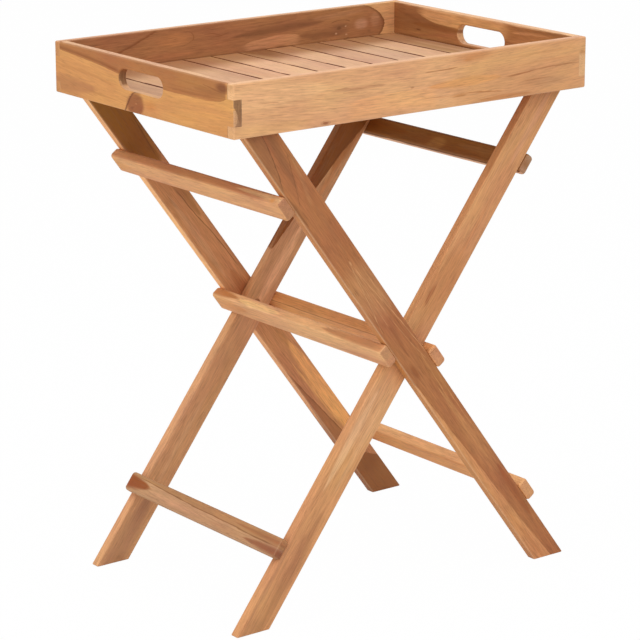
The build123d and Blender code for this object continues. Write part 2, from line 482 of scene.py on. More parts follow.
class WornAndHighlitArris(Effect):
    """Mask of the pale edges of a board, rubbed and with a painted highlight on the rounded arrises, from the
    distance to the nearest two of its faces.
    """

    def __init__(self) -> None:
        """Build the group."""
        super().__init__("worn_and_highlit_arris")
        w = self.wiring
        place = self.take("Place", Kind.VECTOR)
        half_size = self.take("Half Size", Kind.VECTOR)
        width = self.take("Width")

        depth = w.vector("SUBTRACT", half_size, w.vector("ABSOLUTE", place))
        along, across, out = w.parts(depth)
        least = w.math("MINIMUM", along, across)
        most = w.math("MAXIMUM", along, across)
        second = w.math("MAXIMUM", least, w.math("MINIMUM", most, out))
        self.give("Mask", w.fall(second, 0.0, width))


class JointLine(Effect):
    """Mask of the thin lines round a finger joint, seen on a board with fingers or with slots."""

    def __init__(self) -> None:
        """Build the group."""
        super().__init__("joint_line")
        w = self.wiring
        place = self.take("Place", Kind.VECTOR)
        shoulder = self.take("Shoulder")
        middle = self.take("Middle")
        half_height = self.take("Half Height")
        side = self.take("Side")
        width = self.take("Width")

        along, across, _ = w.parts(place)
        past = w.math("SUBTRACT", w.math("ABSOLUTE", along), shoulder)
        off = w.math("ABSOLUTE", w.math("SUBTRACT", across, middle))
        clear = w.math("SUBTRACT", off, half_height)
        beside = w.fall(w.math("ABSOLUTE", clear), 0.0, width)
        finger = w.math("MULTIPLY", beside, w.math("GREATER_THAN", past, 0.0))
        end = w.fall(w.math("ABSOLUTE", past), 0.0, width)
        open_side = w.math("GREATER_THAN", w.math("MULTIPLY", clear, side), 0.0)
        self.give("Mask", w.math("MAXIMUM", finger, w.math("MULTIPLY", end, open_side)))


class Face(Enum):
    """Where a mark shows on a board: right through it, on its near end, or on one narrow side."""

    THROUGH = (0, 0)
    NEAR_END = (1, 0)
    UPPER_SIDE = (0, 1)
    LOWER_SIDE = (0, -1)


@dataclass(frozen=True)
class Streak:
    """A long mark from one point on a board's face to another, in millimetres: a streak in the grain, or on some
    boards a band of painted light or shade.

    It reaches so far above and below its line, and is full within its core, which is a share of
    that reach. With a bow, its ends bend that far off the straight line.
    """

    start: tuple[float, float]
    finish: tuple[float, float]
    above: float
    below: float
    tone: Tone
    strength: float = 0.6
    bow: float = 0.0
    core: float = 0.0
    face: Face = Face.THROUGH

    def middle(self) -> tuple[float, float]:
        """Give the point half way along."""
        return (self.start[0] + self.finish[0]) / 2, (self.start[1] + self.finish[1]) / 2

    def length(self) -> float:
        """Give the length from end to end."""
        return math.dist(self.start, self.finish)

    def turn(self) -> float:
        """Give the angle to the grain."""
        return math.atan2(self.finish[1] - self.start[1], self.finish[0] - self.start[0])


@dataclass(frozen=True)
class Course:
    """A mark that follows a bent line through points on the board's face, in millimetres.

    An upright course runs across the board, and its points climb from the lower side.
    """

    points: tuple[tuple[float, float], ...]
    above: float
    below: float
    tone: Tone
    strength: float = 0.6
    core: float = 0.0
    fade: float = 0.12
    upright: bool = False
    face: Face = Face.THROUGH

    def line(self) -> list[tuple[float, float]]:
        """Give the points as steps along the course and heights beside it."""
        return [(v, u) if self.upright else (u, v) for u, v in self.points]


@dataclass(frozen=True)
class Patch:
    """A rounded mark on a board's face, with or without a dark rim, in millimetres and degrees."""

    at: tuple[float, float]
    span: float
    height: float
    tone: Tone
    strength: float = 0.6
    slant: float = 0.0
    core: float = 0.3
    rim: Tone = UMBER
    rim_strength: float = 0.0
    face: Face = Face.THROUGH

    def middle(self) -> tuple[float, float]:
        """Give the middle of the patch."""
        return self.at

    def length(self) -> float:
        """Give the length from end to end."""
        return self.span

    def turn(self) -> float:
        """Give the angle to the grain."""
        return math.radians(self.slant)


Mark = Union[Streak, Course, Patch]
Line = tuple[float, float, float, float]

WASH_REACH = 20.0
WASH_CORE = 0.9


def side_wash(tone: Tone, strength: float, face: Face, start: float = -900, finish: float = 900) -> Streak:
    """Tone a narrow side of a board, all along it or for a part of its length.

    Args:
        tone: the tone.
        strength: how much of it shows.
        face: the side.
        start: where along the board it starts, in millimetres.
        finish: where it stops.

    Returns:
        The wash, as a streak that is broader than the side.
    """
    ends = (start, 0), (finish, 0)
    return Streak(*ends, WASH_REACH, WASH_REACH, tone, strength, core=WASH_CORE, face=face)


def pore_lines(tone: Tone, strength: float, width: float, *lines: Line) -> tuple[Streak, ...]:
    """Draw short thin lines of pores, all in one tone.

    Args:
        tone: the tone.
        strength: how much of it shows.
        width: half the width of a line, in millimetres.
        *lines: where each line starts along and across the face, and where it stops.

    Returns:
        The lines, as thin streaks.
    """
    return tuple(Streak(line[:2], line[2:], width, width, tone, strength) for line in lines)


@dataclass(frozen=True)
class Teak:
    """The wood of one board: its tones, how it was sawn, and the marks on its face, which are its figure and, on
    some boards, painted light and shade.

    The pith's place and the widths of bands and rings are in millimetres. The lean and the bow say
    how many millimetres the grain goes across in a metre along, and in a metre squared. From bands
    to edge, the numbers are shares: how much of each shows.
    """

    body: Tone
    pale: Tone
    deep: Tone
    end: Tone = TAN
    pith: tuple[float, float] = (90.0, -60.0)
    lean: tuple[float, float] = (20.0, 0.0)
    bow: float = 0.0
    band: float = 14.0
    ring: float = 3.6
    wander: float = 9.0
    bands: float = 0.3
    rings: float = 0.2
    dashes: float = 0.35
    fibre: float = 0.75
    mottle: float = 0.24
    edge: float = 0.3
    seed: float = 0.0
    figure_and_painted_light: tuple[Mark, ...] = ()


@dataclass(frozen=True)
class Axes:
    """A board's own axes: along its grain, across its face and out of its face."""

    along: Vector
    across: Vector

    def matrix(self) -> Matrix:
        """Give the turn from the board's axes to the frame's."""
        return Matrix((self.along, self.across, self.along.cross(self.across))).transposed()


@dataclass(frozen=True)
class Finger:
    """Where a finger joint shows on a tray board: the shoulder, the finger and the side it is on."""

    shoulder: float
    middle: float
    half_height: float
    side: float


@dataclass(frozen=True)
class Board:
    """One wooden piece of the frame, with the wood it is cut from."""

    node: str
    axes: Axes
    teak: Teak
    finger: Finger | None = None

    def middle(self) -> Vector:
        """Give the middle of the piece."""
        low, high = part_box(self.node)
        return (low + high) / 2

    def half_size(self) -> Vector:
        """Measure the piece on its own axes.

        Returns:
            Half its length, width and thickness.
        """
        inverse = self.axes.matrix().transposed()
        middle = self.middle()
        points = [inverse @ (v.co - middle) for v in frame["nodes"][self.node].data.vertices]
        return Vector([max(abs(p[i]) for p in points) for i in range(3)])


def blank_material(name: str) -> bpy.types.Material:
    """Start a material without nodes.

    Args:
        name: what it is called.

    Returns:
        The material.
    """
    material = bpy.data.materials.new(name)
    material.use_nodes = True
    material.node_tree.nodes.clear()
    return material


def cover(node: str, material: bpy.types.Material) -> None:
    """Put a material on the whole of a piece.

    Args:
        node: the piece.
        material: the material.
    """
    for slot in frame["nodes"][node].material_slots:
        slot.material = material


class WoodShop:
    """Makes the wood of each board from shared effects, and lays it on the board."""

    ROUGHNESS = 0.52
    ROUGHNESS_SPREAD = 0.22
    SPECULAR = 0.25
    GRAIN_DEPTH = 0.25 * MM
    GRAIN_STRENGTH = 0.35
    WEAR_AND_HIGHLIGHT_WIDTH = 2.6 * MM
    JOINT_WIDTH = 0.8 * MM
    JOINT_SHARE = 0.12
    END_SHARE = 0.85
    SHADE = 0.28
    PORE = 0.22
    HUE_DRIFT = 0.03
    SAME_HUE = 0.5
    NOISE_MIDDLE = 0.5
    FACING = (0.55, 0.9)
    FIBRE_TAKES = 0.9
    LEAST_TAKEN = 0.55
    CURVE_MARGIN = 0.25
    LEAST_MARGIN = 1.0

    def __init__(self) -> None:
        """Build the shared effects."""
        self.grain = TeakGrain()
        self.streak = StreakMask()
        self.course = CourseMask()
        self.patch = PatchMask()
        self.arris = WornAndHighlitArris()
        self.joint = JointLine()

    def dress(self, board: Board) -> None:
        """Give a board its own wood.

        Args:
            board: the piece, its axes and its wood.
        """
        cover(board.node, self.material(board))
        log.info("%s: teak with %d marks in its figure", board.node, len(board.teak.figure_and_painted_light))

    def material(self, board: Board) -> bpy.types.Material:
        """Make the material of one board.

        Args:
            board: the piece, its axes and its wood.

        Returns:
            The new material.
        """
        teak = board.teak
        material = blank_material(f"{board.node}_teak")
        w = Wiring(material.node_tree)

        turn = board.axes.matrix().to_euler("XYZ")
        coordinates = w.node("ShaderNodeTexCoord", {}).outputs
        feeds = {"Vector": coordinates["Object"], "Location": board.middle(), "Rotation": turn}
        place = w.node("ShaderNodeMapping", feeds, vector_type="TEXTURE").outputs[0]
        feeds = {"Vector": coordinates["Normal"], "Rotation": turn}
        facing = w.node("ShaderNodeMapping", feeds, vector_type="TEXTURE").outputs[0]

        grain = self.grain.place(w, {
            "Place": place,
            "Pith": (0.0, teak.pith[0] * MM, teak.pith[1] * MM),
            "Lean": (0.0, teak.lean[0] * MM, teak.lean[1] * MM),
            "Bow": (0.0, teak.bow * MM, 0.0),
            "Band Width": teak.band * MM,
            "Ring Width": teak.ring * MM,
            "Wander": teak.wander * MM,
            "Seed": teak.seed,
        })
        colour = self.side_grain(w, teak, grain)
        end_share = w.rise(w.math("ABSOLUTE", w.parts(facing)[0]), *self.FACING)
        colour = w.mixed(w.math("MULTIPLY", end_share, self.END_SHARE), colour, teak.end.linear())
        colour = self.figure_and_painted_light(w, teak, grain, facing, colour)
        colour = self.fibres(w, teak, grain, colour)
        # Pale edges: rubbed wear and a painted highlight along the rounded arrises.
        wear_and_highlight = self.arris.place(w, {
            "Place": place, "Half Size": board.half_size(), "Width": self.WEAR_AND_HIGHLIGHT_WIDTH,
        })["Mask"]
        colour = w.mixed(w.math("MULTIPLY", wear_and_highlight, teak.edge), colour, CREAM.linear())
        if board.finger is not None:
            colour = self.joint_lines(w, board.finger, place, colour)

        rough = w.between(grain["Fibre"], self.ROUGHNESS, self.ROUGHNESS + self.ROUGHNESS_SPREAD)
        bump = w.node("ShaderNodeBump", {
            "Strength": self.GRAIN_STRENGTH, "Distance": self.GRAIN_DEPTH, "Height": grain["Relief"],
        }).outputs[0]
        shader = w.node("ShaderNodeBsdfPrincipled", {
            "Base Color": colour,
            "Roughness": rough,
            "Specular IOR Level": self.SPECULAR,
            "Normal": bump,
        })
        w.node("ShaderNodeOutputMaterial", {"Surface": shader.outputs[0]})
        return material

    def side_grain(self, w: Wiring, teak: Teak, grain: Outputs) -> Socket:
        """Colour a board's wood along the grain: growth bands, rings and short dashes.

        Args:
            w: the material's wiring.
            teak: the board's wood.
            grain: the outputs of its grain.

        Returns:
            The colour.
        """
        bands = w.math("MULTIPLY", grain["Bands"], teak.bands)
        colour = w.mixed(bands, teak.body.linear(), teak.pale.linear())
        rings = w.math("MULTIPLY", grain["Rings"], teak.rings)
        colour = w.mixed(rings, colour, teak.deep.linear())
        dashes = w.math("MULTIPLY", grain["Dashes"], teak.dashes)
        return w.mixed(dashes, colour, teak.deep.linear())

    def fibres(self, w: Wiring, teak: Teak, grain: Outputs, colour: Socket) -> Socket:
        """Lay the fibres and pores on a colour, with the slow change of hue along a board.

        Args:
            w: the material's wiring.
            teak: the board's wood.
            grain: the outputs of its grain.
            colour: the colour under the fibres.

        Returns:
            The colour with the fibres.
        """
        light = w.math("ADD", 1.0, self.swing(w, grain["Fibre"], teak.fibre))
        light = w.math("SUBTRACT", light, w.math("MULTIPLY", grain["Pores"], self.PORE))
        light = w.math("ADD", light, self.swing(w, grain["Mottle"], teak.mottle))
        light = w.math("ADD", light, self.swing(w, grain["Cloud"], self.SHADE))
        hue = w.math("ADD", self.SAME_HUE, self.swing(w, grain["Cloud"], self.HUE_DRIFT))
        feeds = {"Hue": hue, "Value": light, "Color": colour}
        return w.node("ShaderNodeHueSaturation", feeds).outputs[0]

    def swing(self, w: Wiring, level: Socket, reach: float) -> Socket:
        """Turn the level of a noise into a change of half the reach each way."""
        return w.math("MULTIPLY", w.math("SUBTRACT", level, self.NOISE_MIDDLE), reach)

    def figure_and_painted_light(self, w: Wiring, teak: Teak, grain: Outputs, facing: Socket, colour: Socket) -> Socket:
        """Lay every mark of a board on a colour: its figure, and its painted light and shade.

        Args:
            w: the material's wiring.
            teak: the board's wood.
            grain: the outputs of its grain.
            facing: which way a face looks, on the board's own axes.
            colour: the colour under the marks.

        Returns:
            The colour with the marks.
        """
        taken = w.math("MULTIPLY", grain["Fibre"], self.FIBRE_TAKES)
        grainy = w.math("ADD", taken, self.LEAST_TAKEN)
        along, across, out = w.parts(grain["Feathered"])
        on_end = w.joined(out, across, 0.0)
        on_side = w.joined(along, out, 0.0)
        for mark in teak.figure_and_painted_light:
            if mark.face is Face.THROUGH:
                colour = self.marked(w, mark, grain["Feathered"], grainy, colour)
                continue
            end, side = mark.face.value
            feeds = {0: facing, 1: (end, side, 0.0)}
            towards = w.node("ShaderNodeVectorMath", feeds, operation="DOT_PRODUCT").outputs["Value"]
            shown = w.math("MULTIPLY", grainy, w.rise(towards, *self.FACING))
            colour = self.marked(w, mark, on_end if end else on_side, shown, colour)
        return colour

    def marked(self, w: Wiring, mark: Mark, place: Socket, grainy: Socket, colour: Socket) -> Socket:
        """Lay one mark, of the figure or of painted light and shade, on a colour.

        Args:
            w: the material's wiring.
            mark: the streak, course or patch.
            place: where on the board's face a point is.
            grainy: how strongly the fibres take the mark.
            colour: the colour under the mark.

        Returns:
            The colour with the mark.
        """
        if isinstance(mark, Course):
            mask = self.course_mask(w, mark, place)
            return self.tone_through_mask(w, mask, mark.strength, grainy, colour, mark.tone)
        middle = mark.middle()
        feeds: Feeds = {
            "Place": place,
            "Middle": (middle[0] * MM, middle[1] * MM, 0.0),
            "Turn": mark.turn(),
            "Reach": mark.length() / 2 * MM,
            "Core": mark.core,
        }
        if isinstance(mark, Streak):
            feeds |= {"Above": mark.above * MM, "Below": mark.below * MM, "Bow": mark.bow * MM}
            mask = self.streak.place(w, feeds)["Mask"]
            return self.tone_through_mask(w, mask, mark.strength, grainy, colour, mark.tone)
        patch = self.patch.place(w, feeds | {"Height": mark.height / 2 * MM})
        colour = self.tone_through_mask(w, patch["Mask"], mark.strength, grainy, colour, mark.tone)
        if mark.rim_strength == 0.0:
            return colour
        return self.tone_through_mask(w, patch["Rim"], mark.rim_strength, grainy, colour, mark.rim)

    def tone_through_mask(
        self, w: Wiring, mask: Socket, strength: float, grainy: Socket, colour: Socket, tone: Tone,
    ) -> Socket:
        """Lay a tone on a colour, through a mask that the fibres break up.

        Args:
            w: the material's wiring.
            mask: where the tone goes.
            strength: how much of it shows.
            grainy: how strongly the fibres take it.
            colour: the colour under it.
            tone: the tone.

        Returns:
            The colour with the tone on it.
        """
        share = w.math("MULTIPLY", w.math("MULTIPLY", mask, strength), grainy)
        return w.mixed(share, colour, tone.linear())

    def course_mask(self, w: Wiring, mark: Course, place: Socket) -> Socket:
        """Make the mask of a mark that follows a bent line.

        Args:
            w: the material's wiring.
            mark: the mark.
            place: where on the board's face a point is.

        Returns:
            The mask.
        """
        steps, heights = zip(*mark.line())
        margin = (max(heights) - min(heights)) * self.CURVE_MARGIN + self.LEAST_MARGIN
        low, high = min(heights) - margin, max(heights) + margin
        along, across, _ = w.parts(place)
        if mark.upright:
            along, across = across, along
        run = w.node("ShaderNodeMapRange", {
            "Value": along, "From Min": steps[0] * MM, "From Max": steps[-1] * MM,
        }).outputs[0]
        bend = w.node("ShaderNodeFloatCurve", {"Value": run})
        curve = bend.mapping.curves[0]
        spots = [
            ((step - steps[0]) / (steps[-1] - steps[0]), (height - low) / (high - low))
            for step, height in zip(steps, heights)
        ]
        curve.points[0].location = spots[0]
        curve.points[1].location = spots[-1]
        for spot in spots[1:-1]:
            curve.points.new(*spot)
        bend.mapping.update()
        line = w.between(bend.outputs[0], low * MM, high * MM)
        return self.course.place(w, {
            "Off": w.math("SUBTRACT", across, line),
            "Run": run,
            "Above": mark.above * MM,
            "Below": mark.below * MM,
            "Core": mark.core,
            "Fade": mark.fade,
        })["Mask"]

    def joint_lines(self, w: Wiring, finger: Finger, place: Socket, colour: Socket) -> Socket:
        """Darken the thin lines round a finger joint.

        Args:
            w: the material's wiring.
            finger: where the joint is on the board.
            place: where on the board a point is.
            colour: the colour under the lines.

        Returns:
            The colour with the lines.
        """
        mask = self.joint.place(w, {
            "Place": place,
            "Shoulder": finger.shoulder,
            "Middle": finger.middle,
            "Half Height": finger.half_height,
            "Side": finger.side,
            "Width": self.JOINT_WIDTH,
        })["Mask"]
        return w.mixed(w.math("MULTIPLY", mask, self.JOINT_SHARE), colour, UMBER.linear())


@dataclass(frozen=True)
class Metal:
    """A metal for the hidden fixings: its tone and how it shines, with fine turning marks."""

    STAIN = Texture((900.0, 900.0, 900.0), 3.0, 0.6)
    STAIN_LEVELS = (0.45, 0.75)
    TURNING = Texture((5200.0, 700.0, 5200.0), 1.0)
    TURNING_STRENGTH = 0.2
    TURNING_DEPTH = 0.05 * MM

    name: str
    tone: Tone
    dark: Tone
    roughness: float
    spread: float
    metallic: float = 1.0

    def material(self) -> bpy.types.Material:
        """Make the metal's material.

        Returns:
            The new material.
        """
        material = blank_material(self.name)
        w = Wiring(material.node_tree)
        place = w.node("ShaderNodeTexCoord", {}).outputs["Object"]
        stain = w.level(place, self.STAIN)
        colour = w.mixed(w.rise(stain, *self.STAIN_LEVELS), self.tone.linear(), self.dark.linear())
        rough = w.between(stain, self.roughness, self.roughness + self.spread)
        bump = w.node("ShaderNodeBump", {
            "Strength": self.TURNING_STRENGTH,
            "Distance": self.TURNING_DEPTH,
            "Height": w.level(place, self.TURNING),
        })
        shader = w.node("ShaderNodeBsdfPrincipled", {
            "Base Color": colour, "Roughness": rough, "Metallic": self.metallic, "Normal": bump.outputs[0],
        })
        w.node("ShaderNodeOutputMaterial", {"Surface": shader.outputs[0]})
        return material


# The wood of each board. Its marks, its figure and on some boards painted light and shade, are in
# millimetres from the middle of the board's face, along the grain and across it, and later marks lie over earlier
# ones.

# Painted highlight: the upward top edge of each tray board, in one pale tone.
PAINTED_TOP_RIM_HIGHLIGHT = Streak((-500, -2), (500, -2), 7, 9, Tone(220, 174, 136), 0.75, core=0.85, face=Face.UPPER_SIDE)

FRONT_BOARD_TEAK = Teak(
    body=Tone(216, 161, 114), pale=Tone(226, 172, 123), deep=Tone(184, 129, 88), end=Tone(204, 152, 106),
    lean=(0, 0), bow=140, band=12, wander=6, dashes=0.28, fibre=0.7, mottle=0.18, edge=0.1, seed=1,
    figure_and_painted_light=(
        Patch((185, 0), 300, 220, Tone(210, 153, 103), 0.9, core=0.6),
        # Painted shade: a darker strip along the top of the face, just under the top arris.
        Streak((-400, 36), (400, 36), 1, 3.4, Tone(200, 149, 110), 0.6, core=0.3),
        Streak((-360, 14), (-140, 16), 24, 24, Tone(226, 174, 124), 0.85, core=0.4),
        Streak((-340, -28), (-165, -24), 9, 14, Tone(210, 156, 106), 0.6),
        *pore_lines(
            Tone(163, 110, 69), 0.5, 0.9,
            (-264, 7, -226, 5), (-244, -1, -200, -4), (-222, 4, -184, 1), (-196, -6, -152, -9),
            (-176, 2, -134, -1), (-252, -10, -212, -12), (-160, -12, -118, -14), (-206, -14, -170, -17),
        ),
        Streak((-150, 9), (-50, 8), 5, 5, Tone(193, 139, 99), 0.9),
        *pore_lines(
            Tone(162, 108, 72), 0.6, 0.9,
            (-142, 11, -112, 10), (-118, 8, -84, 8), (-92, 10, -62, 9), (-128, 5, -98, 4),
        ),
        Course(
            ((-125, -14), (-90, -7), (-40, -5), (5, -6), (40, -12)), 1.2, 27, Tone(225, 166, 113), 0.95,
            core=0.7,
        ),
        Streak((-70, 20), (20, 24), 3.5, 3.5, Tone(205, 150, 105), 0.5),
        Patch((-154, -31), 16, 6, Tone(145, 87, 52), 0.8, rim=Tone(106, 60, 35), rim_strength=0.3),
        Patch((-10, -1), 8, 3, Tone(169, 109, 69), 0.6),
        Streak((8, 16.5), (72, 17.5), 1.8, 1.6, Tone(161, 101, 57), 0.8),
        Patch((98, 30), 92, 20, Tone(196, 130, 75), 0.6, core=0),
        Patch((86, 26), 26, 8, Tone(188, 122, 64), 0.5, core=0),
        Streak((12, -4), (152, -3), 8.5, 8.5, Tone(217, 154, 97), 0.95, core=0.45),
        Course(((148, -5), (180, -3.5), (215, -1)), 2, 1.8, Tone(154, 96, 53), 0.75, fade=0.3),
        Course(((196, -2.5), (225, 0), (250, 1.5), (292, 1)), 1.5, 1.2, Tone(161, 104, 62), 0.7, fade=0.3),
        Streak((160, 8), (285, 12), 2.2, 2.2, Tone(195, 137, 90), 0.5),
        Streak((150, 20), (290, 24), 3, 3, Tone(196, 137, 90), 0.5),
        Patch((72, -20), 44, 10, Tone(188, 125, 69), 0.6, core=0),
        Streak((58, -21.5), (84, -21), 1.6, 1.4, Tone(159, 99, 50), 0.6),
        Streak((-4, -18), (62, -20), 1, 1.2, Tone(188, 128, 79), 0.55),
        Streak((80, -18), (152, -24), 1.4, 1.6, Tone(164, 102, 56), 0.75),
        Streak((100, -31), (205, -31), 4.5, 6, Tone(191, 127, 73), 0.65),
        Patch((205, -17), 100, 20, Tone(185, 130, 88), 0.6, core=0),
        Patch((240, -19), 90, 22, Tone(184, 134, 97), 0.6, core=0),
        Streak((180, -14), (240, -13), 1.2, 1.2, Tone(166, 110, 69), 0.6),
        Streak((205, -21), (262, -19), 1.2, 1.2, Tone(166, 114, 74), 0.5),
        Patch((306, 8), 48, 60, Tone(205, 152, 102), 0.85, core=0.6),
        Streak((286, 17), (298, 17), 0.9, 0.9, Tone(161, 104, 66), 0.6),
        PAINTED_TOP_RIM_HIGHLIGHT,
    ),
)

BACK_BOARD_TEAK = Teak(
    body=Tone(167, 112, 72), pale=Tone(178, 121, 78), deep=Tone(134, 85, 51), end=Tone(190, 132, 82),
    lean=(20, 0), wander=10, edge=0.1, seed=2,
    figure_and_painted_light=(
        Streak((-330, 10), (-180, 4), 12, 12, Tone(171, 112, 71), 0.5),
        Course(((-216, 6), (-170, 22), (-136, 35)), 4, 1.6, Tone(132, 77, 42), 0.8),
        Patch((-112, 18), 76, 26, Tone(188, 124, 78), 0.6, core=0.4),
        Course(
            ((-112, 5), (-85, 12), (-77, 20), (-84, 27), (-112, 31)), 1.2, 1.6, Tone(133, 81, 46), 0.65,
            upright=True,
        ),
        Streak((-200, -6), (-70, -3), 6, 7, Tone(183, 121, 77), 0.6),
        Streak((-60, 24), (-24, 18), 1.4, 1.4, Tone(143, 90, 52), 0.6, bow=-3),
        Streak((-48, 14), (-12, 20), 1.4, 1.4, Tone(140, 88, 51), 0.6, bow=3),
        Streak((-56, 4), (10, 10), 1.4, 1.6, Tone(145, 92, 53), 0.5, bow=-2),
        Streak((-30, 29), (60, 32), 5, 6, Tone(166, 113, 72), 0.5),
        Streak((-20, 11), (165, 20), 10, 10, Tone(133, 87, 54), 0.8, core=0.1),
        Streak((20, 22), (110, 27), 2, 2, Tone(120, 78, 47), 0.5),
        Course(((4, -4), (40, 3), (80, 5), (118, 1)), 1.6, 18, Tone(198, 139, 95), 1, core=0.6, fade=0.16),
        Streak((30, -3), (112, 0), 3.4, 3, Tone(204, 147, 101), 0.6),
        Streak((106, 2), (190, -4), 10, 10, Tone(141, 91, 57), 0.8),
        Streak((130, 24), (232, 28), 7, 9, Tone(177, 123, 87), 0.6),
        Patch((186, 4), 46, 26, Tone(146, 97, 64), 0.75),
        Course(((168, 14), (186, 17), (206, 13)), 1.2, 1.2, Tone(112, 71, 45), 0.7),
        Course(((166, -8), (184, -12), (204, -9)), 1.2, 1.2, Tone(114, 73, 47), 0.6),
        Patch((184, 5), 12, 7, Tone(110, 68, 43), 0.6),
        Patch((178, -2), 6, 3, Tone(221, 173, 135), 0.8),
        Patch((196, 7), 5, 3, Tone(215, 168, 130), 0.7),
        Patch((197, -5), 6, 3, Tone(217, 170, 132), 0.7),
        Patch((225, 8), 34, 22, Tone(203, 152, 115), 0.75),
        Patch((240, -4), 10, 5, Tone(142, 97, 63), 0.6),
        Patch((252, 12), 26, 30, Tone(192, 141, 100), 0.6),
        Course(
            ((254, -16), (263, -8), (269, 5), (264, 16), (252, 26), (228, 36)), 1.2, 6, Tone(134, 89, 53),
            0.85, fade=0.02, upright=True,
        ),
        Course(
            ((256, -16), (265, -8), (271, 5), (266, 16), (254, 26), (230, 36)), 70, 1,
            Tone(219, 165, 111), 1, core=0.9, fade=0.02, upright=True,
        ),
        # Painted shade: a dark line along the back board where the slats meet it.
        Streak((-400, -12.5), (400, -12.5), 3.4, 3, Tone(123, 73, 39), 0.7, core=0.3),
        PAINTED_TOP_RIM_HIGHLIGHT,
    ),
)

LEFT_END_TEAK = Teak(
    body=Tone(203, 143, 83), pale=Tone(212, 152, 89), deep=Tone(174, 116, 64), end=Tone(150, 112, 82),
    lean=(-30, 0), bow=250, band=18, wander=8, dashes=0.2, fibre=0.5, mottle=0.14, edge=0.1, seed=4,
    figure_and_painted_light=(
        Course(
            ((-214, 29.5), (-60, 17), (0, 12), (48, 10), (100, 9), (150, 9.5), (175, 12.5), (196, 17.5)),
            60, 3.2, Tone(166, 106, 58), 0.95, core=0.93, fade=0.012,
        ),
        Course(
            ((-214, 29), (-130, 23.5), (-60, 17), (-40, 14)), 5, 2.6, Tone(139, 82, 39), 0.85,
            fade=0.12,
        ),
        Streak((-200, 20), (-50, 10), 5, 5, Tone(209, 150, 88), 0.5),
        Course(((-205, 5), (-120, 1), (-50, -10)), 3.4, 3.4, Tone(189, 130, 74), 0.65),
        Streak((-280, -22), (-100, -18), 15, 18, Tone(179, 121, 74), 0.9, core=0.3),
        Streak((-216, -8), (-110, -9), 3, 3, Tone(189, 131, 81), 0.5),
        Streak((-145, -20), (-52, -25), 2.6, 2.6, Tone(181, 123, 68), 0.6),
        Patch((-12, -24), 50, 40, Tone(149, 90, 49), 1, slant=15, core=0.6),
        Course(
            ((-40, -39), (-36, -32), (-29, -22), (-21, -12), (-12, -5)), 4, 3, Tone(110, 61, 30), 0.9,
            fade=0.06, upright=True,
        ),
        Streak((-30, -31), (-12, -26), 2, 2, Tone(133, 78, 42), 0.6),
        Streak((-18, -16), (4, -12), 1.8, 1.8, Tone(137, 82, 45), 0.6),
        Patch((-20, -29), 9, 5, Tone(130, 74, 40), 0.6),
        Patch((-6, -15), 8, 5, Tone(135, 79, 44), 0.55),
        Patch((0, -29), 9, 4, Tone(139, 82, 45), 0.5),
        Patch((-10, -22), 7, 3, Tone(187, 129, 78), 0.5),
        Patch((-30, -33), 9, 4, Tone(181, 121, 72), 0.5),
        Patch((22, -20), 46, 22, Tone(199, 131, 68), 0.7, core=0.1),
        Streak((70, 25), (180, 22), 2, 2, Tone(153, 95, 50), 0.5),
        Streak((56, 16), (150, 16), 1.4, 1.6, Tone(151, 93, 48), 0.5),
        Streak((120, 20), (196, 17), 7, 6, Tone(151, 95, 51), 0.65),
        Patch((186, 27), 40, 18, Tone(124, 71, 37), 0.85),
        Streak((140, 27), (188, 21), 1.4, 1.4, Tone(126, 72, 36), 0.6),
        Streak((46, 9.5), (196, 12.5), 4, 1.6, Tone(147, 90, 46), 0.6, bow=2),
        Streak((56, 2), (225, 4), 7, 6, Tone(213, 152, 86), 0.7, core=0.2),
        Streak((100, -13), (215, -10), 6, 6, Tone(215, 153, 85), 0.6),
        Streak((60, -22), (150, -24), 5, 6, Tone(198, 136, 74), 0.5),
        Streak((150, -27), (215, -24), 4, 6, Tone(196, 133, 73), 0.5),
        Streak((-5, -21), (19, 51), 12, 0.6, Tone(142, 100, 66), 0.9, core=0.8, face=Face.NEAR_END),
        Streak((-4.2, -13), (-4.2, 16), 0.6, 0.6, Tone(104, 66, 40), 0.8, face=Face.NEAR_END),
        Streak((-2, -6), (-2, 16), 0.5, 0.5, Tone(172, 128, 90), 0.6, face=Face.NEAR_END),
        Streak((0.4, -1), (0.4, 16), 0.5, 0.5, Tone(110, 72, 46), 0.6, face=Face.NEAR_END),
        Streak((-6.4, -22), (-6, 18), 0.8, 0.8, Tone(86, 56, 38), 0.8, core=0.4, face=Face.NEAR_END),
        Streak((-8, -19.4), (3, -19), 0.9, 0.8, Tone(86, 56, 38), 0.8, core=0.4, face=Face.NEAR_END),
        Streak((6, -24), (4, 4), 6, 6, Tone(206, 156, 112), 0.8, core=0.4, face=Face.NEAR_END),
        # Painted shade: a darker strip along the top of the face, just under the top arris.
        Streak((-300, 36), (300, 36), 1, 3.6, Tone(151, 99, 57), 0.6, core=0.3),
        PAINTED_TOP_RIM_HIGHLIGHT,
    ),
)

